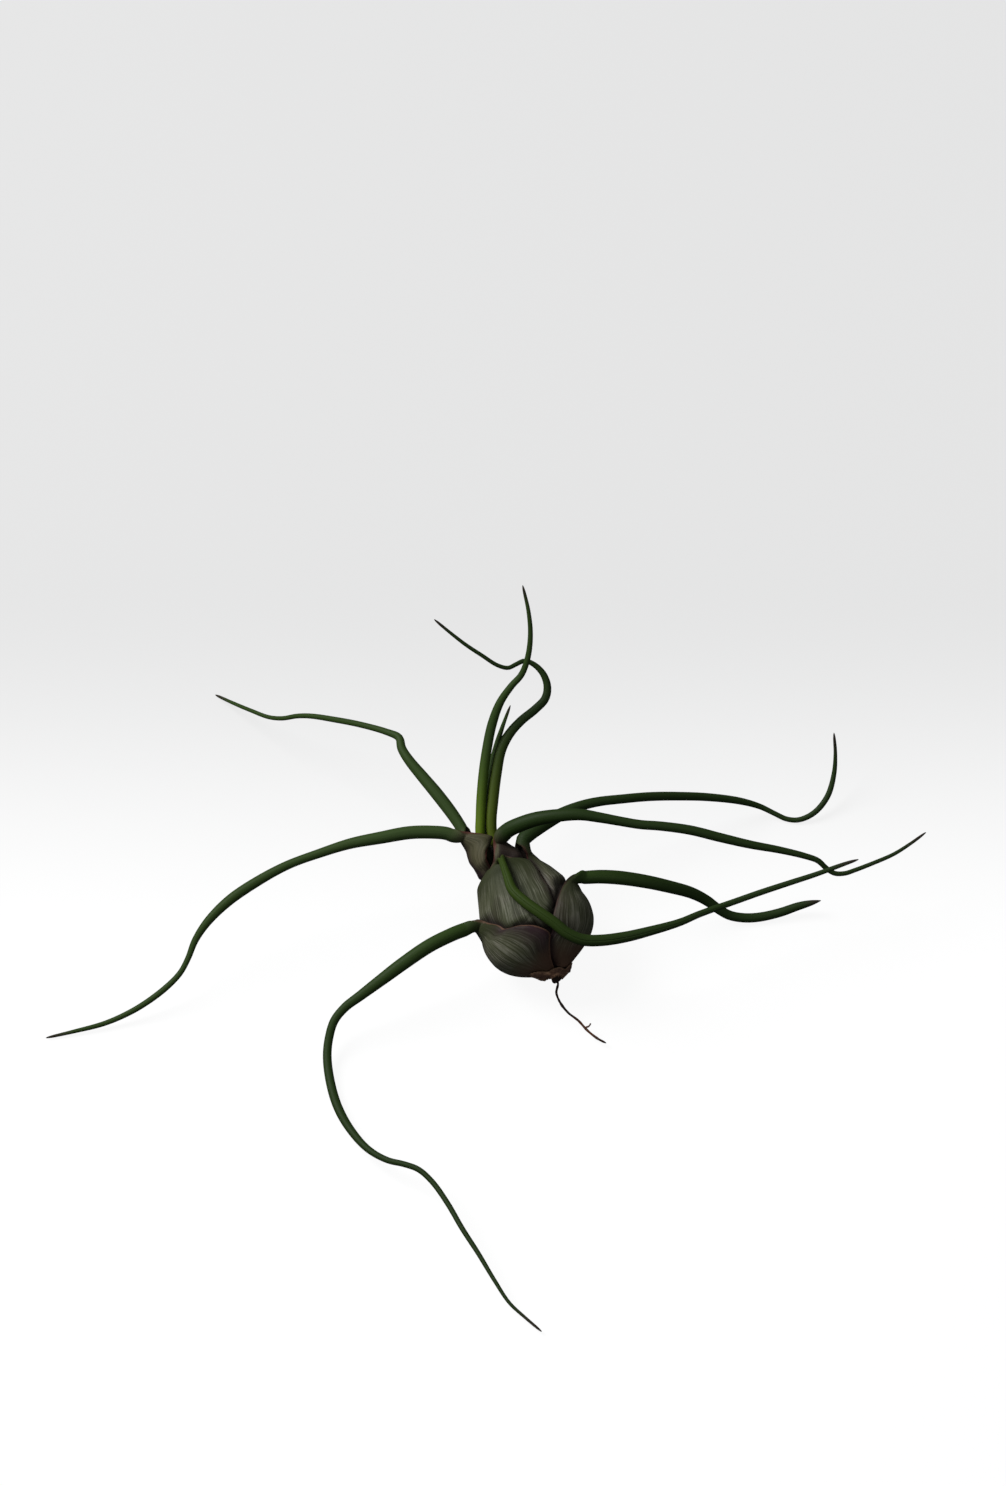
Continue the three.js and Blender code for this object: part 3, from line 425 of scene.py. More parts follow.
# ---- Leaf surfaces ----------------------------------------------------------
for place, leaf in enumerate(LEAVES):
    leaf["place"] = place
    leaf["foot"] = NODE_SPACING * max(place - NODE_START, 0) ** NODE_RISE
    leaf["top"] = leaf["sheath"][-1][0]
    for k, side in enumerate(("left", "middle", "right"), start=1):
        leaf[side] = column(leaf["sheath"], k)


def half_turns(leaf, heights):
    """Degrees from a sheath's midrib to its left margin and to its right one."""
    middle = leaf["middle"](heights)
    return np.array([middle - leaf["left"](heights), leaf["right"](heights) - middle])


def past_margin(leaf, height, azimuth):
    """Mm that a place on the bulb lies past the nearest margin of a sheath, negative under it."""
    level = np.minimum(height, leaf["top"])
    turn = (azimuth - leaf["middle"](level) + 180) % 360 - 180

    def reach(at):
        return np.where(turn < 0, *half_turns(leaf, at))

    per_degree = math.radians(1) * envelope_radius(level)
    slope = (reach(level) - reach(level - MARGIN_PROBE)) * per_degree / MARGIN_PROBE
    across = (np.abs(turn) - reach(level)) * per_degree / np.hypot(1, slope)
    above = height - level
    return np.where(above > 0, np.hypot(above, np.maximum(across, 0)), across)


def sheath_wall(leaf, height, azimuth):
    """The middle of a sheath's wall, under the sheaths over it and at the envelope where bare."""
    height, azimuth = np.broadcast_arrays(np.asarray(height, float), np.asarray(azimuth, float))
    past = [past_margin(other, height, azimuth) for other in LEAVES[: leaf["place"]]]
    layers = sum((1 - smooth(distance, LIP, SETTLE) for distance in past), np.zeros(height.shape))
    ramp = FILL_OUT * np.maximum(1, layers / 2)
    bare = np.ones(height.shape)
    nearest = np.full(height.shape, float(SETTLE))
    for distance in past:
        bare = np.minimum(bare, smooth(distance, LIP, ramp))
        nearest = np.minimum(nearest, distance)
    depth = (1 - bare) * layers * (SHEATH_WALL + GAP) + SHEATH_WALL / 2
    face_height, face_radius = inset(height, depth)
    climb = np.maximum(face_height - leaf["foot"], LEAST_CLIMB * height)
    core = stem_radius(leaf["foot"] + climb) + GAP + SHEATH_WALL / 2
    radius = np.clip(face_radius, core, core + FLARE * climb)
    point = axis_point(leaf["foot"] + climb) + outward(azimuth) * radius[..., None]
    free = face_height >= leaf["foot"]
    return dict(point=point, radius=radius, climb=climb, free=free, nearest=nearest)


def places(left, right):
    """Places across a panel, from -1 at its left margin by 0 at its midrib to 1."""
    return np.concatenate([np.arange(-left, 0) / left, np.arange(right + 1) / right])


def sheath_heights(leaf):
    """Heights of the rows, from where the sheath comes free of the stem to its mouth."""
    low = 0.0
    while not sheath_wall(leaf, low, leaf["middle"](low))["free"]:
        low += PROBE
    count = math.ceil((leaf["top"] - low) / SHEATH_ROW)
    heights = np.linspace(low, leaf["top"], count + 1)
    climbs = sheath_wall(leaf, heights, leaf["middle"](heights))["climb"]
    kept, reached = [], -math.inf
    for height, climb in zip(heights, climbs):
        if climb >= reached + LEAST_ROW * SHEATH_ROW:
            kept.append(height)
            reached = climb
    return np.array(kept)


def centripetal(points, steps):
    """A centripetal Catmull-Rom curve through points, at places spaced evenly along it."""
    points = np.array(points, float)
    ends = 2 * points[0] - points[1], 2 * points[-1] - points[-2]
    p = np.vstack([ends[0], points, ends[1]])
    gaps = np.linalg.norm(np.diff(p, axis=0), axis=1) ** 0.5
    t = np.linspace(0, 1, PIECE_STEPS, endpoint=False)[:, None]
    dense = []
    for k in range(1, len(p) - 2):
        a, b, c, d = p[k - 1 : k + 3]
        d0, d1, d2 = gaps[k - 1 : k + 2]
        slope1 = ((b - a) / d0 - (c - a) / (d0 + d1) + (c - b) / d1) * d1
        slope2 = ((c - b) / d1 - (d - b) / (d1 + d2) + (d - c) / d2) * d1
        dense.append(hermite(b, c, slope1, slope2, t))
    dense = np.vstack([*dense, points[-1:]])
    gone = np.concatenate([[0], np.cumsum(np.linalg.norm(np.diff(dense, axis=0), axis=1))])
    even = np.linspace(0, gone[-1], steps + 1)
    return np.stack([np.interp(even, gone, dense[:, k]) for k in range(3)], axis=1), gone[-1]


def turned(vector, was, now):
    """The vector carried from one direction of travel to the next without a twist."""
    rotation = Vector(was).rotation_difference(Vector(now))
    return np.array(rotation @ Vector(vector))


def blade_frames(leaf, before, mouth, last_normal):
    """Points along a blade with the frame that is carried along it, from the mouth on."""
    route = np.array(leaf["blade"], float)
    rising = unit(mouth - before)
    leaving = route[0] - mouth
    lead = leaving + rising * BEND_SHARE * np.linalg.norm(leaving)
    points, whole = centripetal([mouth - lead, mouth, *route], CURVE_STEPS)
    step = whole / CURVE_STEPS
    start = int(np.argmin(np.linalg.norm(points - mouth, axis=1)))
    order = np.arange(CURVE_STEPS + 1)
    ahead = points[np.minimum(order + 1, CURVE_STEPS)]
    tangents = unit(ahead - points[np.maximum(order - 1, 0)])
    normal = turned(last_normal, rising, tangents[start])
    normals = [normal]
    for i in range(start + 1, CURVE_STEPS + 1):
        normal = turned(normal, tangents[i - 1], tangents[i])
        normal = unit(normal - tangents[i] * normal.dot(tangents[i]))
        normals.append(normal)
    return dict(
        gone=(order[start:] - start) * step,
        point=points[start:],
        tangent=tangents[start:],
        normal=np.array(normals),
    )


def blade_wall(leaf, way, last, gone, across):
    """The middle of the wall at the given lengths along a blade, as it curls up and runs out."""
    length = way["gone"][-1]
    pick = np.round(gone / way["gone"][1]).astype(int)
    point, tangent, front = (way[key][pick] for key in ("point", "tangent", "normal"))
    share = gone / length
    outer = through(leaf["girth"])(share) / 2
    to_tip = np.clip((length - gone) / TIP_LENGTH, 0.0, 1)
    outer = outer * np.maximum(np.sqrt(1 - (1 - to_tip) ** 2), LEAST_TIP)
    wall = np.minimum(BLADE_WALL, WALL_SHARE * outer)
    rolled = outer - wall / 2
    curl = smooth(gone, 0, leaf["curl"])
    radius = 1 / mix(1 / last["radius"], 1 / rolled, curl**CURL_BIAS)
    narrowing = smooth(gone, 0, NARROWED_BY * leaf["curl"])
    flat = np.radians(roll(share)) * rolled
    halves = np.stack([mix(half, flat, narrowing) for half in last["halves"]], axis=1)
    side = np.cross(tangent, front)
    half = np.where(across < 0, halves[:, :1], halves[:, 1:])
    angle = across * half / radius[:, None]
    height = (rolled * curl + radius * (np.cos(angle.T) - 1)).T
    height = np.maximum(height, -rolled[:, None])
    reach = np.sin(angle) * radius[:, None]
    forward = front[:, None] * height[..., None]
    sideways = side[:, None] * reach[..., None]
    return dict(
        point=point[:, None] + forward + sideways,
        front=front,
        wall=mix(SHEATH_WALL, wall, curl),
        share=share,
        margin=(1 - np.abs(across)) * half,
        closed=curl,
    )


def ease_bend(points, mouth_row, along):
    """Smooths the rows near the mouth along the leaf, fading out over BEND_REACH."""
    near = 1 - smooth(np.abs(along - along[mouth_row]), BEND_FULL * BEND_REACH, BEND_REACH)
    near = near[1:-1, None, None]
    for _ in range(BEND_SMOOTHING):
        average = (points[:-2] + 2 * points[1:-1] + points[2:]) / 4
        points[1:-1] = mix(points[1:-1], average, near)
    return points


def both_faces(panel):
    """Outer and inner face of a panel. Its inner face keeps its place where the margins thin."""
    points = panel["point"]
    across = np.gradient(points, axis=1, edge_order=2)
    along = np.gradient(points, axis=0)
    normal = unit(np.cross(across, along))
    reach = mix(MARGIN_TAPER, SEAM_TAPER, panel["closed"])[:, None]
    least = mix(MARGIN_THIN, SEAM_THIN, panel["closed"])[:, None]
    taper = mix(least, 1, smooth(panel["margin"] / reach, 0, 1))
    wall = panel["wall"][:, None] * np.ones(taper.shape)
    outer = points + normal * (wall * (taper - 0.5))[..., None]
    inner = points - normal * (wall * 0.5)[..., None]
    return outer, inner, normal


def midrib_of(points, across):
    return points[:, int(np.argmin(np.abs(across)))]


def sheath_rows(leaf, heights, across):
    """The rows of a sheath, with the values that go with them."""
    turn = np.where(across < 0, *half_turns(leaf, heights)[..., None])
    azimuths = leaf["middle"](heights)[:, None] + across * turn
    wall = sheath_wall(leaf, heights[:, None], azimuths)
    midrib = midrib_of(wall["point"], across)
    steps = np.linalg.norm(np.diff(midrib, axis=0), axis=1)
    return dict(
        point=wall["point"],
        front=outward(leaf["middle"](heights)),
        wall=np.full(len(heights), SHEATH_WALL),
        margin=(1 - np.abs(across)) * np.radians(turn) * wall["radius"],
        closed=np.zeros(len(heights)),
        along=np.concatenate([[0], np.cumsum(steps)]),
        share=np.zeros(len(heights)),
        rise=heights / leaf["top"],
        nearest=wall["nearest"],
    )


def blade_rows(leaf, way, last, gone, across, climbed):
    """The rows of a blade, with the values that go with them, past a sheath `climbed` long."""
    rows = blade_wall(leaf, way, last, gone, across)
    rows["along"] = climbed + gone
    rows["rise"] = np.ones(len(gone))
    rows["nearest"] = np.full(rows["point"].shape[:2], float(SETTLE))
    return rows


def curled_points(leaf, way, last, gone, across, mouth):
    """Points where the leaf rolls up, straight between the few rows that the solid has there."""
    knots = leaf["curl"] * np.arange(1, CURL_ROWS + 1) / CURL_ROWS
    coarse = blade_wall(leaf, way, last, knots, across)
    at = np.concatenate([[0], knots])
    stations = np.concatenate([mouth, coarse["point"]])
    k = np.clip(np.searchsorted(at, gone, side="left") - 1, 0, CURL_ROWS - 1)
    share = ((gone - at[k]) / (at[k + 1] - at[k]))[:, None, None]
    return mix(stations[k], stations[k + 1], share)


def blade_lengths(start, length):
    """Lengths along a blade for its rows, closer where it comes to its point."""
    rows = math.ceil((length - start) / BLADE_ROW)
    even = np.linspace(start, length, rows + 1)[1:]
    close = length - TIP_LENGTH * np.array(TIP_ROWS)
    return np.unique(np.concatenate([even[even < close[0] - TIP_CLEAR], close, [length]]))


def leaf_panels(leaf):
    """The wide panel (sheath and curl) and the narrow panel (blade) of a leaf."""
    heights, top = sheath_heights(leaf), leaf["top"]
    radii = sheath_wall(leaf, heights, leaf["middle"](heights))["radius"]
    widest = (np.radians(half_turns(leaf, heights)) * radii).max(axis=1)
    across = places(*[max(BLADE_COLUMNS, math.ceil(width / SHEATH_COLUMN)) for width in widest])
    sheath = sheath_rows(leaf, heights, across)

    radius = float(sheath_wall(leaf, top, leaf["middle"](top))["radius"])
    last = dict(radius=radius, halves=np.radians(half_turns(leaf, top)) * radius)
    midrib = midrib_of(sheath["point"], across)
    back = int(np.argmin(np.abs(heights - (top - STEP_BACK))))
    way = blade_frames(leaf, midrib[back], midrib[-1], outward(leaf["middle"](top)))
    climbed = sheath["along"][-1]
    curl_end = leaf["curl"]
    count = math.ceil(curl_end / CURL_ROW)
    gone = curl_end * np.arange(1, count + 1) / count
    curl = blade_rows(leaf, way, last, gone, across, climbed)
    curl["point"] = curled_points(leaf, way, last, gone, across, sheath["point"][-1:])

    wide = {key: np.concatenate([sheath[key], curl[key]]) for key in sheath}
    if leaf["name"] not in CENTRE_LEAVES:
        keel = KEEL * (1 - smooth(np.abs(wide["along"] - climbed), 0, KEEL_REACH))
        proud = (keel[:, None] * (1 - across**2))[..., None]
        wide["point"] = wide["point"] + wide["front"][:, None] * proud
    wide["point"] = ease_bend(wide["point"], len(heights) - 1, wide["along"])
    wide["across"] = across

    gone = blade_lengths(curl_end, way["gone"][-1])
    across = places(BLADE_COLUMNS, BLADE_COLUMNS)
    narrow = blade_rows(leaf, way, last, gone, across, climbed)
    narrow["across"] = across
    for panel in (wide, narrow):
        panel["vein"] = panel["across"] * np.where(panel["across"] < 0, *widest)
    return wide, narrow


# ---- Meshes -----------------------------------------------------------------
def place_in_scene(name, data, matrix=None):
    thing = bpy.data.objects.new(name, data)
    if matrix is not None:
        thing.matrix_world = matrix
    bpy.context.scene.collection.objects.link(thing)
    return thing


def zipped(lower, upper):
    """Triangles between two rows with different places, as corners (0 or 1 up, place)."""
    i = j = 0
    ends, tops = len(lower) - 1, len(upper) - 1
    while i < ends or j < tops:
        on_low = j == tops or (i < ends and lower[i + 1] <= upper[j + 1])
        third = (0, i + 1) if on_low else (1, j + 1)
        yield (0, i), third, (1, j)
        i, j = (i + 1, j) if on_low else (i, j + 1)


def sheet_faces(rows):
    """Faces of a closed skin over rows of places across, and which of them close its margins.

    In each row the outer face's points are numbered first.
    """
    starts = np.concatenate([[0], np.cumsum([2 * len(row) for row in rows])])
    faces, walls = [], set()

    def outer(r, k):
        return int(starts[r] + k)

    def inner(r, k):
        return int(starts[r] + len(rows[r]) + k)

    for r in range(len(rows) - 1):
        lower, upper = rows[r], rows[r + 1]
        ends, tops = len(lower) - 1, len(upper) - 1
        if ends == tops:
            k = np.arange(ends)
            low, high = starts[r] + k, starts[r + 1] + k
            ring = np.stack([low, low + 1, high + 1, high], axis=1)
            back = ring[:, ::-1] + len(lower)
            faces += ring.tolist() + back.tolist()
        else:
            for corners in zipped(lower, upper):
                faces.append([outer(r + up, k) for up, k in corners])
                faces.append([inner(r + up, k) for up, k in reversed(corners)])
        walls.update((len(faces), len(faces) + 1))
        faces.append([outer(r, 0), outer(r + 1, 0), inner(r + 1, 0), inner(r, 0)])
        faces.append([outer(r, ends), inner(r, ends), inner(r + 1, tops), outer(r + 1, tops)])
    last = len(rows) - 1
    for k in range(len(rows[0]) - 1):
        faces.append([outer(0, k), inner(0, k), inner(0, k + 1), outer(0, k + 1)])
    for k in range(len(rows[last]) - 1):
        faces.append([outer(last, k), outer(last, k + 1), inner(last, k + 1), inner(last, k)])
    return faces, walls


def new_piece(name, points, faces, values, node, material, flat=()):
    """A smooth mesh in the row frame with its values as attributes, standing for a CAD node."""
    mesh = bpy.data.meshes.new(name)
    mesh.from_pydata(row_frame(points).tolist(), [], faces)
    mesh.polygons.foreach_set("use_smooth", [index not in flat for index in range(len(faces))])
    for key, numbers in values.items():
        numbers = np.asarray(numbers, np.float32)
        kind, field = ("FLOAT", "value") if numbers.ndim == 1 else ("FLOAT_VECTOR", "vector")
        attribute = mesh.attributes.new(key, kind, "POINT")
        attribute.data.foreach_set(field, numbers.ravel())
    mesh.materials.append(material)
    mesh.update()
    piece = place_in_scene(name, mesh)
    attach(piece, "root")
    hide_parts(node)
    return piece


SHADE_REACH = (0.3, 2.6)  # mm past an outer leaf's margin over which its shade fades
THROAT = (38.4, 41.2)  # heights between which the painted shade on the centre leaves fades, where they come out of the bulb
LIGHT_SIDE = unit(np.array([-0.25, 0.75, 0.6]))  # plant frame, where the soft light comes from, for the painted shade on the sides turned from it
GRAIN_APART = 37.0  # mm of noise between two leaves, so that their streaks differ


def by_row(outer, inner):
    """Values of both faces in the order of a skin's points: row by row, outer face first."""
    return np.stack([outer, inner], axis=1).reshape(-1, *outer.shape[2:])


def panel_values(leaf, panel, normal):
    """What the leaf's material reads at the points of a panel's two faces."""
    every = np.ones(panel["margin"].shape)
    grain = [panel["vein"] * every, panel["along"][:, None] * every]
    grain = np.stack([*grain, GRAIN_APART * leaf["place"] * every], axis=-1)
    shade = 1 - smooth(panel["nearest"], *SHADE_REACH)
    # painted shade: the centre leaves turn dark low in the bulb, below THROAT
    if leaf["name"] in CENTRE_LEAVES:
        shade = np.maximum(shade, 1 - smooth((panel["point"] - FOOT) @ AXIS, *THROAT))
    share = panel["share"][:, None] * every
    rise = panel["rise"][:, None] * every
    side = panel["across"] * every
    # the inner faces of the open sheaths get painted shade, here and in full through shade below
    hollow = (1 - panel["closed"][:, None]) * every
    # painted shade on the sides turned from the light: under grows as a face turns from LIGHT_SIDE
    lit = normal @ LIGHT_SIDE
    return dict(
        grain=by_row(grain, grain),
        share=by_row(share, share),
        rise=by_row(rise, rise),
        margin=by_row(panel["margin"], panel["margin"]),
        side=by_row(side, side),
        shade=by_row(shade, every),
        inside=by_row(0 * every, hollow),
        under=by_row(-lit, lit),
    )


def build_leaf(leaf, material):
    points, rows, values = [], [], []
    for panel in leaf_panels(leaf):
        outer, inner, normal = both_faces(panel)
        points.append(by_row(outer, inner))
        rows.extend([panel["across"]] * len(outer))
        values.append(panel_values(leaf, panel, normal))
    points = np.concatenate(points)
    values = {key: np.concatenate([part[key] for part in values]) for key in values[0]}
    faces, walls = sheet_faces(rows)
    name = leaf["name"] + "_skin"
    return new_piece(name, points, faces, values, leaf["name"], material, walls)


def tube_faces(rings, sides):
    """Faces of a closed tube over rings of points."""
    faces = []
    for r in range(rings - 1):
        for k in range(sides):
            after = (k + 1) % sides
            low, high = r * sides, (r + 1) * sides
            faces.append([low + k, low + after, high + after, high + k])
    faces.append(list(range(sides))[::-1])
    faces.append([(rings - 1) * sides + k for k in range(sides)])
    return faces


BARK_SIDES = 48
BARK_RINGS = 60
BARK_FIT = 0.97  # of the solid's radius, so that the bark stays inside it
BARK_RELIEF = 0.4
BARK_LIMITS = (-0.1, 0.05)
BARK_WAVES = 8  # whose sum roughens the bark
BARK_WAVE = 0.03  # their size


def build_stem(material):
    rng = np.random.default_rng(5)
    waves = rng.normal(0, 1, (BARK_WAVES, 3))
    azimuth = np.arange(BARK_SIDES) * 360 / BARK_SIDES
    rings = []
    for height in np.linspace(STEM[0][0], STEM[-1][0], BARK_RINGS):
        rough = sum(
            size * BARK_WAVE * np.sin(np.radians(azimuth) * (k + 2) + twist * height + start)
            for k, (size, twist, start) in enumerate(waves)
        )
        radius = stem_radius(height) * (BARK_FIT + BARK_RELIEF * np.clip(rough, *BARK_LIMITS))
        rings.append(axis_point(height) + outward(azimuth) * radius[:, None])
    faces = tube_faces(BARK_RINGS, BARK_SIDES)
    return new_piece("stem_bark", np.concatenate(rings), faces, {}, "stem", material)


# The dry scale hugs the foot: (azimuth, lower rim, upper rim).
SCALE = [
    (-115, 0.6, 1.1), (-90, 0, 1.8), (-60, -0.6, 2.9), (-45, -0.9, 2.5), (-30, -1, 1.3),
    (-12, -1.1, 1.2), (10, -1.2, 0.9), (38, -1.6, 0.1), (60, -1.5, 0.5), (75, -0.9, 0.9),
    (92, -1.1, 0.5), (108, -0.7, 0.1),
]
SCALE_WALL = 0.7
SCALE_TUCK = 0.8  # mm inward for each mm below the foot
SCALE_COLUMNS = 240
SCALE_HALF_ROWS = 7
SCALE_RIM = (0.25, 0.8)  # shares of the wall at a rim and away from it
SCALE_TAPER = 0.6  # share of the way to the middle over which it thickens
SCALE_INSET = 0.1  # mm that its rims stay back from the solid's
SCALE_LEAST = 0.25  # mm between them
TEAR_WALK = 0.09  # mm that a torn rim wanders from column to column
TEAR_FRAY = 0.05  # mm by which each column frays
TEAR_LIMIT = 0.35
UPPER_TEAR = 0.3  # share of the tears that the upper rim has


def torn_rims():
    """How far the lower and the upper rim are torn, at each column of the scale."""
    rng = np.random.default_rng(11)
    tears = np.cumsum(rng.normal(0, TEAR_WALK, (2, SCALE_COLUMNS)), axis=1)
    tears -= np.linspace(0, 1, SCALE_COLUMNS) * tears[:, -1:]
    return np.clip(tears, -TEAR_LIMIT, TEAR_LIMIT) + rng.normal(0, TEAR_FRAY, tears.shape)


def build_scale(material):
    lower, upper = column(SCALE, 1), column(SCALE, 2)
    azimuths = np.linspace(SCALE[-1][0], SCALE[0][0], SCALE_COLUMNS)
    across = places(SCALE_HALF_ROWS, SCALE_HALF_ROWS)
    edge = 1 - np.abs(across)
    thick = SCALE_WALL * mix(*SCALE_RIM, smooth(edge, 0, SCALE_TAPER))
    points = []
    for azimuth, low_tear, high_tear in zip(azimuths, *torn_rims()):
        low = float(lower(azimuth)) + SCALE_INSET + low_tear
        high = float(upper(azimuth)) - SCALE_INSET + UPPER_TEAR * high_tear
        height = mix(low, max(high, low + SCALE_LEAST), (across + 1) / 2)
        dropped = np.minimum(height, 0)
        for depth in (-GAP - thick, np.full(len(across), -GAP)):
            place_height, place_radius = inset(np.maximum(height, 0), depth)
            clear = stem_radius(height) + GAP - depth
            radius = np.maximum(place_radius + SCALE_TUCK * dropped, clear)
            spot = axis_point(place_height + dropped)
            points.append(spot + outward(np.full(len(across), azimuth)) * radius[:, None])
    points = np.concatenate(points)
    values = dict(margin=np.tile(edge, 2 * SCALE_COLUMNS))
    faces, _ = sheet_faces([across] * SCALE_COLUMNS)
    name = "dry_scale_husk"
    return new_piece(name, points, faces, values, "dry_scale", material)


ROOT = [
    (4.6, -17.9, 2.72), (4.85, -18.6, 2.84), (4.6, -19.8, 2.7), (4.4, -21, 2.5),
    (5.4, -23.6, 2.4), (7.6, -26.4, 3.2), (10.3, -28.5, 3.8), (12.8, -31.2, 4.6),
    (15.6, -33.4, 5.4), (17.9, -34.6, 6),
]
ROOT_FORK = [(12.1, -30.4, 4.4), (13.2, -30, 4.7), (13.7, -29.2, 5)]
ROOT_SHARE = 0.88  # of the solid's diameter, so that the knots have room
FORK_SHARE = 0.6
ROOT_STEPS = 90
FORK_STEPS = 18
ROOT_SIDES = 12
ROOT_TAPER = 0.12  # share of its thickness that a root loses to its tip
KNOT_STEPS = 3  # from one knot to the next
KNOT_RELIEF = 0.1  # share of the thickness
KNOT_LIMIT = 1.5
END_FROM = 0.93  # share of its length from where the end is rounded
LEAST_END = 0.01  # what is left there of the square of the thickness


def strand(route, diameter, steps, seed):
    """Points and faces of a knotty root along a route."""
    points, _ = centripetal(route, steps)
    tangents = unit(np.gradient(points, axis=0))
    normal = unit(np.cross(tangents[0], [0, 0, 1.0]))
    sizes = np.random.default_rng(seed).normal(0, 1, steps // KNOT_STEPS + 2)
    knots = np.interp(np.arange(steps + 1), np.arange(0, steps + KNOT_STEPS + 1, KNOT_STEPS), sizes)
    knots = 1 + KNOT_RELIEF * np.clip(knots, -KNOT_LIMIT, KNOT_LIMIT)
    angle = np.radians(360 * np.arange(ROOT_SIDES) / ROOT_SIDES)[:, None]
    rings = []
    for i, point in enumerate(points):
        if i:
            normal = turned(normal, tangents[i - 1], tangents[i])
        side = np.cross(tangents[i], normal)
        share = i / steps
        radius = diameter / 2 * (1 - ROOT_TAPER * share) * knots[i]
        rounding = max((share - END_FROM) / (1 - END_FROM), 0)
        radius *= math.sqrt(max(1 - rounding**2, LEAST_END))
        rings.append(point + (normal * np.cos(angle) + side * np.sin(angle)) * radius)
    return np.concatenate(rings), tube_faces(steps + 1, ROOT_SIDES)


def build_root(material):
    points, faces = strand(ROOT, ROOT_SHARE * ROOT_DIAMETER, ROOT_STEPS, seed=3)
    fork, fork_faces = strand(ROOT_FORK, FORK_SHARE * ROOT_DIAMETER, FORK_STEPS, seed=4)
    faces += [[k + len(points) for k in face] for face in fork_faces]
    points = np.vstack([points, fork])
    values = dict(dropped=(ROOT[0][1] - points[:, 1]) / (ROOT[0][1] - ROOT[-1][1]))
    return new_piece("root_strand", points, faces, values, "root", material)


# ---- Materials --------------------------------------------------------------
def linear(channel):
    """A channel of an sRGB colour, 0 to 255, as a linear one, 0 to 1."""
    value = channel / 255
    return value / 12.92 if value < 0.04045 else ((value + 0.055) / 1.055) ** 2.4


def colour(*channels):
    return (*map(linear, channels), 1.0)


class Tree:
    """Short calls for a material's nodes."""

    def __init__(self, name):
        self.material = bpy.data.materials.new(name)
        self.material.use_nodes = True
        self.nodes = self.material.node_tree.nodes
        self.links = self.material.node_tree.links
        self.nodes.clear()

    def add(self, kind, inputs=None, **settings):
        node = self.nodes.new(kind)
        for key, value in settings.items():
            setattr(node, key, value)
        for key, value in (inputs or {}).items():
            socket = node.inputs[key]
            if isinstance(value, bpy.types.NodeSocket):
                self.links.new(value, socket)
            else:
                socket.default_value = value
        return node

    def read(self, name, output="Fac"):
        return self.add("ShaderNodeAttribute", attribute_name=name).outputs[output]

    def math(self, operation, a, b=0.0, c=0.0):
        node = self.add("ShaderNodeMath", {0: a, 1: b, 2: c}, operation=operation)
        return node.outputs[0]

    def times(self, a, b):
        return self.math("MULTIPLY", a, b)

    def ramp(self, value, start, end, low=0.0, high=1.0):
        """Goes smoothly from low to high as the value goes from start to end."""
        inputs = {"Value": value, 1: start, 2: end, 3: low, 4: high}
        node = self.add("ShaderNodeMapRange", inputs, interpolation_type="SMOOTHSTEP")
        return node.outputs[0]

    def blend(self, share, a, b, mode="MIX"):
        inputs = {0: share, 6: a, 7: b}
        node = self.add("ShaderNodeMix", inputs, data_type="RGBA", blend_type=mode)
        return node.outputs[2]

    def noise(self, vector, scale, detail=3.0, roughness=0.55, distortion=0.0):
        inputs = {"Vector": vector, "Scale": scale, "Detail": detail}
        inputs |= {"Roughness": roughness, "Distortion": distortion}
        return self.add("ShaderNodeTexNoise", inputs).outputs["Fac"]

    def stretched(self, vector, scale):
        node = self.add("ShaderNodeVectorMath", {0: vector, 1: scale}, operation="MULTIPLY")
        return node.outputs[0]

    def place(self):
        """The point's own place on the plant, in mm."""
        coordinates = self.add("ShaderNodeTexCoord").outputs["Object"]
        return self.stretched(coordinates, (MM, MM, MM))

    def finish(self, base, roughness, height, strength, distance, specular):
        """The finished material, with a relief of `height` that is `distance` metres deep."""
        relief = {"Height": height, "Strength": strength, "Distance": distance}
        surface = {"Base Color": base, "Roughness": roughness, "Specular IOR Level": specular}
        surface["Normal"] = self.add("ShaderNodeBump", relief).outputs[0]
        shader = self.add("ShaderNodeBsdfPrincipled", surface)
        return self.show(shader)

    def show(self, shader):
        output = self.add("ShaderNodeOutputMaterial")
        self.links.new(shader.outputs[0], output.inputs["Surface"])
        return self.material


SHADE = colour(26, 11, 20)
# painted shade inside the open sheaths
SHADE_INSIDE = colour(30, 24, 20)
# painted shade on the sides turned from the light
SHADE_AWAY_FROM_LIGHT = colour(9, 12, 6)
MAROON = colour(84, 42, 38)
TAN = colour(98, 72, 58)
ROSE_TAN = colour(92, 72, 62)
DARK_RIM = colour(58, 42, 36)
HUSK_BROWN = colour(90, 66, 52)
# the sheath's own purple, deepened by painted shade on its flanks
FLANK_PURPLE_AND_SHADE = colour(46, 29, 34)
PURPLE = colour(58, 44, 42)
BROWN = colour(46, 34, 30)
OLIVE = colour(79, 81, 60)
YOUNG_OLIVE = colour(46, 52, 28)
DUN = colour(82, 78, 57)
VEIN = colour(40, 44, 27)
SCURF = colour(140, 138, 124)
DULL_SCURF = colour(124, 116, 96)
DEEP_GREEN = colour(34, 53, 17)
MID_GREEN = colour(45, 66, 23)
GREY_GREEN = colour(57, 77, 38)
FRESH_GREEN = colour(50, 68, 15)
OLIVE_GREEN = colour(84, 99, 18)
BRIGHT = colour(100, 126, 14)
DIMMED = (0.6, 0.63, 0.58, 1.0)  # what is left of the light colours

RIM_WIDTH = 0.55  # mm
BLADE_FROM = (0.0, 0.04)  # shares of a blade over which it takes over from its sheath
TIP_FROM = (0.93, 0.99)
NOWHERE = (2, 3)  # places across a sheath, past both its margins


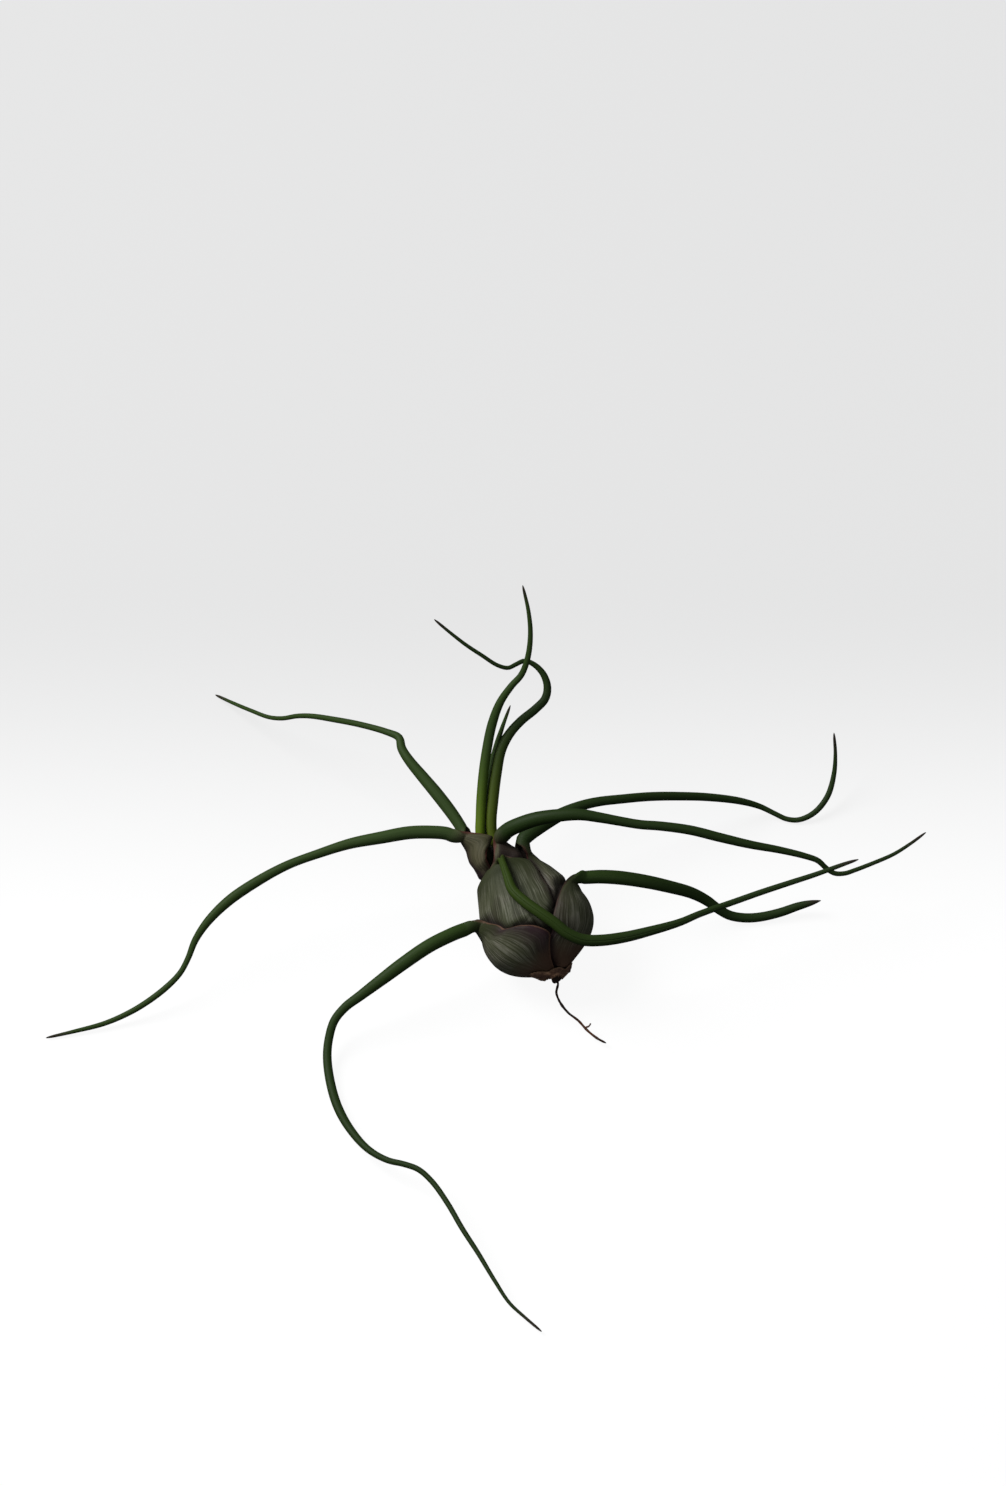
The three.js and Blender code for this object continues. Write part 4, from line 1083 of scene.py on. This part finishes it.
def leaf_noise(tree):
    """Streaks along a leaf, and specks and clouds over it."""
    grain, place = tree.read("grain", "Vector"), tree.place()
    return dict(
        fine=tree.noise(tree.stretched(grain, (2.7, 0.1, 1.0)), 1.0, 2.5, 0.6),
        broad=tree.noise(tree.stretched(grain, (0.8, 0.06, 1.0)), 1.0, 3.0, 0.55),
        speck=tree.noise(place, 3.2, 2.0, 0.7),
        cloud=tree.noise(place, 0.17, 3.0, 0.55, 0.4),
        wander=tree.noise(place, 0.6, 2.0),
    )


def sheath_colour(tree, noise, sheath, scurf, blotch, flank, dim, young):
    """A scurfy sheath with veins and blotches, dry at its foot.

    It turns a dark purple, partly its own colour and partly painted shade, from the
    first to the second value of `flank` across it (-1 at its left margin, 1 at its
    right one), and turns darker over `dim`. Towards its mouth it turns to the share
    `young` a dark olive.
    """
    rise, side, cloud = tree.read("rise"), tree.read("side"), noise["cloud"]
    streak = tree.times(noise["fine"], 0.65)
    streak = tree.math("MULTIPLY_ADD", noise["broad"], 0.35, streak)
    worn = tree.ramp(cloud, 0.35, 0.62, 0.35, 1.0)
    worn = tree.times(worn, tree.ramp(rise, 0.7, 1.0, 1.0, 0.55))
    light = tree.times(tree.ramp(streak, 0.46, 0.62, 0.0, 0.9), worn)
    skin = tree.blend(light, sheath, scurf)
    skin = tree.blend(tree.ramp(streak, 0.34, 0.5, 0.75, 0.0), skin, VEIN)
    low = tree.ramp(rise, 0.05, 0.45, 1.0, 0.3)
    patch = tree.times(tree.ramp(cloud, 0.5, 0.66, 0.0, 0.7), low)
    skin = tree.blend(patch, skin, blotch)
    skin = tree.blend(tree.ramp(side, *dim), skin, DIMMED, "MULTIPLY")
    mottled = tree.ramp(cloud, 0.3, 0.6, 0.7, 1.0)
    # dark purple flank: partly the sheath's own purple, partly painted shade
    purple_and_shade = tree.times(tree.ramp(side, *flank), mottled)
    skin = tree.blend(purple_and_shade, skin, FLANK_PURPLE_AND_SHADE)
    height = tree.math("MULTIPLY_ADD", cloud, 0.2, rise)
    skin = tree.blend(tree.ramp(height, 0.18, 0.42, 0.9, 0.0), skin, HUSK_BROWN)
    return tree.blend(tree.ramp(height, 0.8, 1.07, 0.0, young), skin, YOUNG_OLIVE)


def blade_colour(tree, noise, share, near, far, sheath, scurf):
    """A green blade with a little of its sheath's colours."""
    skin = tree.blend(tree.ramp(share, 0.0, 0.5), near, far)
    skin = tree.blend(tree.ramp(noise["broad"], 0.4, 0.62, 0.0, 0.2), skin, scurf, "SOFT_LIGHT")
    return tree.blend(tree.ramp(noise["speck"], 0.5, 0.75, 0.0, 0.12), skin, sheath)


def dried_ends(tree, noise, share, skin, rim):
    """The skin with a coloured margin on the sheath and a brown tip on the blade."""
    wander = tree.math("MULTIPLY_ADD", noise["wander"], 1.1, -0.4)
    edge = tree.math("SUBTRACT", tree.read("margin"), wander)
    on_sheath = tree.ramp(share, *BLADE_FROM, 1.0, 0.0)
    rimmed = tree.times(tree.ramp(edge, 0.0, RIM_WIDTH, 0.85, 0.0), on_sheath)
    skin = tree.blend(rimmed, skin, rim)
    return tree.blend(tree.ramp(share, *TIP_FROM, 0.0, 0.85), skin, BROWN)


def shaded(tree, share, skin):
    """The skin with painted shade under overlaps, inside open sheaths and on sides turned from the
    light.
    """
    skin = tree.blend(tree.times(tree.read("shade"), 0.85), skin, SHADE)
    # painted shade on the inner faces of the open sheaths
    skin = tree.blend(tree.times(tree.read("inside"), 0.8), skin, SHADE_INSIDE)
    # painted shade on the sides turned from the light, in full on the blades
    shade_away_from_light = tree.ramp(tree.read("under"), -0.15, 0.75, 0.0, 0.75)
    shade_away_from_light = tree.times(shade_away_from_light, tree.ramp(share, *BLADE_FROM, 0.55, 1.0))
    return tree.blend(shade_away_from_light, skin, SHADE_AWAY_FROM_LIGHT)


def leaf_material(
    name, sheath, scurf, blotch, young,
    near=DEEP_GREEN, far=DEEP_GREEN, rim=MAROON, flank=NOWHERE, dim=NOWHERE,
):
    """A leaf's skin. Its blade goes from the green `near` the sheath to the one `far` from it."""
    tree = Tree(name)
    noise, share = leaf_noise(tree), tree.read("share")
    bulb = sheath_colour(tree, noise, sheath, scurf, blotch, flank, dim, young)
    blade = blade_colour(tree, noise, share, near, far, sheath, scurf)
    skin = tree.blend(tree.ramp(share, 0.0, 0.045), bulb, blade)
    skin = dried_ends(tree, noise, share, skin, rim)
    skin = shaded(tree, share, skin)
    rough = tree.ramp(noise["speck"], 0.3, 0.7, 0.52, 0.66)
    ribbed = tree.times(noise["fine"], tree.ramp(share, 0.0, 0.1, 0.7, 0.25))
    relief = tree.math("MULTIPLY_ADD", noise["speck"], 0.1, ribbed)
    return tree.finish(skin, rough, relief, strength=0.5, distance=0.00022, specular=0.15)


def bark_material():
    """Dark fibrous bark. The root turns rusty along part of its length."""
    tree = Tree("bark")
    place = tree.place()
    grain = tree.noise(tree.stretched(place, (1.6, 0.5, 1.6)), 1.0, 5.0, 0.7)
    speck = tree.noise(place, 2.5, 3.0, 0.6)
    base = tree.blend(tree.ramp(grain, 0.35, 0.7), colour(20, 14, 12), colour(52, 38, 30))
    base = tree.blend(tree.ramp(speck, 0.58, 0.78, 0.0, 0.4), base, colour(92, 74, 58))
    low = tree.read("dropped")
    rusty = tree.times(tree.ramp(low, 0.5, 0.76), tree.ramp(low, 0.84, 0.98, 0.8, 0.1))
    rusty = tree.times(rusty, tree.ramp(speck, 0.36, 0.56, 0.3, 1.0))
    base = tree.blend(rusty, base, colour(104, 64, 40))
    return tree.finish(base, 0.85, grain, strength=0.8, distance=0.0003, specular=0.2)


def husk_material():
    """The dry scale: papery, fibrous, dark in clouds and paler along its torn rims."""
    tree = Tree("dry_husk")
    place = tree.place()
    grain = tree.noise(tree.stretched(place, (1.2, 2.2, 1.2)), 1.0, 5.0, 0.65)
    cloud = tree.noise(place, 0.35, 3.0, 0.5)
    base = tree.blend(tree.ramp(grain, 0.35, 0.68), colour(88, 62, 49), colour(160, 124, 97))
    base = tree.blend(tree.ramp(cloud, 0.42, 0.6, 0.0, 0.7), base, colour(62, 42, 36))
    edge = tree.ramp(tree.read("margin"), 0.0, 0.35, 0.5, 0.0)
    base = tree.blend(edge, base, colour(128, 104, 80))
    return tree.finish(base, 0.8, grain, strength=0.7, distance=0.0003, specular=0.2)


YOUNG = 0.85  # how far a leaf's mouth turns to the dark olive
COLLAR_YOUNG = 0.3
# What is a leaf's own: see leaf_material and sheath_colour.
LOOKS = dict(
    leaf_low_left=dict(near=MID_GREEN, rim=TAN, flank=(0.35, 0.95), dim=(0.1, 0.9)),
    leaf_low_right=dict(near=MID_GREEN, rim=DARK_RIM, flank=(-0.55, -1.2)),
    leaf_front=dict(near=FRESH_GREEN, rim=ROSE_TAN, flank=(0.6, 1.3), dim=(-0.45, 0.05)),
    leaf_back_right=dict(flank=(-0.6, -1.1)),
    leaf_front_right=dict(flank=(-0.75, -0.35), dim=(-0.75, -0.35)),
    leaf_left=dict(near=GREY_GREEN, far=MID_GREEN, flank=(0.35, -0.15)),
    leaf_back_left=dict(near=GREY_GREEN, far=MID_GREEN, flank=(0.5, 1.2), dim=(0.3, 1.0)),
    leaf_centre_right=dict(near=OLIVE_GREEN),
    leaf_centre_left=dict(near=BRIGHT, far=MID_GREEN),
    leaf_heart=dict(far=MID_GREEN),
)


def build_plant():
    for leaf in LEAVES:
        name = leaf["name"]
        collar, centre = name in COLLAR_LEAVES, name in CENTRE_LEAVES
        material = leaf_material(
            name + "_skin",
            sheath=DUN if collar else OLIVE,
            scurf=DULL_SCURF if collar else SCURF,
            blotch=BRIGHT if centre else PURPLE,
            young=COLLAR_YOUNG if collar else YOUNG,
            **LOOKS[name],
        )
        build_leaf(leaf, material)
    bark = bark_material()
    build_stem(bark)
    build_root(bark)
    build_scale(husk_material())


# ---- Floor, light and camera -------------------------------------------------
VIEW_LEAN = math.radians(55)  # the camera looks down on the laid plant at this angle
TO_CAMERA = Vector((0, -math.cos(VIEW_LEAN), math.sin(VIEW_LEAN)))
PICTURE_HEIGHT = 0.4012  # metres that the picture spans at the plant
PICTURE_CENTRE = (-10, 46.4, 0)  # plant frame, mm
CAMERA_DISTANCE = 9.0
SENSOR = 36.0
FLOOR_HALF = 20.0  # metres from its middle to its edges
PALE_NEAR = colour(255, 255, 255)
PALE_FAR = colour(225, 225, 225)
PALE_OVER = (-0.002, 0.126)  # metres along Y
PAPER = (0.1, 0.1, 0.1, 1.0)  # dark, since most of what the camera sees of it is its glow
GLOW = 0.92
SKY = (0.9, 0.95, 1.0, 1.0)
SKY_STRENGTH = 0.16


def looking_back(direction, distance, aim=Vector()):
    """Where a lamp or camera stands that looks at `aim` from a direction."""
    turn = direction.to_track_quat("Z", "Y").to_matrix().to_4x4()
    return Matrix.Translation(aim + direction * distance) @ turn


def floor_material():
    """Paper that glows only for the camera, so that it lights the plant little."""
    tree = Tree("pale_floor")
    coordinates = tree.add("ShaderNodeTexCoord").outputs["Object"]
    away = tree.add("ShaderNodeSeparateXYZ", {0: coordinates}).outputs["Y"]
    pale = tree.blend(tree.ramp(away, *PALE_OVER), PALE_NEAR, PALE_FAR)
    paper = tree.add("ShaderNodeBsdfDiffuse", {"Color": PAPER}).outputs[0]
    glow = tree.add("ShaderNodeEmission", {"Color": pale, "Strength": GLOW}).outputs[0]
    seen = tree.add("ShaderNodeAddShader", {0: paper, 1: glow}).outputs[0]
    ray = tree.add("ShaderNodeLightPath").outputs["Is Camera Ray"]
    return tree.show(tree.add("ShaderNodeMixShader", {0: ray, 1: paper, 2: seen}))


def add_floor():
    mesh = bpy.data.meshes.new("floor")
    signs = ((-1, -1), (1, -1), (1, 1), (-1, 1))
    corners = [(x * FLOOR_HALF, y * FLOOR_HALF, 0) for x, y in signs]
    mesh.from_pydata(corners, [], [(0, 1, 2, 3)])
    mesh.materials.append(floor_material())
    place_in_scene("floor", mesh)


def add_area(name, direction, distance, size, power):
    lamp = bpy.data.lights.new(name, "AREA")
    lamp.shape = "DISK"
    lamp.size = size
    lamp.energy = power
    place_in_scene(name, lamp, looking_back(Vector(direction).normalized(), distance))


def add_world():
    world = bpy.data.worlds.new("studio")
    world.use_nodes = True
    inputs = world.node_tree.nodes["Background"].inputs
    inputs["Color"].default_value = SKY
    inputs["Strength"].default_value = SKY_STRENGTH
    bpy.context.scene.world = world


def add_camera():
    camera = bpy.data.cameras.new("camera")
    camera.sensor_width = SENSOR
    camera.lens = SENSOR * CAMERA_DISTANCE / PICTURE_HEIGHT
    camera.clip_end = 100
    aim = Vector(row_frame(np.array([PICTURE_CENTRE], float))[0])
    matrix = looking_back(TO_CAMERA, CAMERA_DISTANCE, aim)
    bpy.context.scene.camera = place_in_scene("camera", camera, matrix)


build_plant()
add_floor()
add_area("key", direction=(-0.75, 0.3, 0.9), distance=2.0, size=1.1, power=40)
add_area("fill", direction=(0.4, -0.9, 0.9), distance=2.2, size=1.6, power=5)
add_world()
add_camera()
bpy.context.scene.view_settings.view_transform = "Standard"
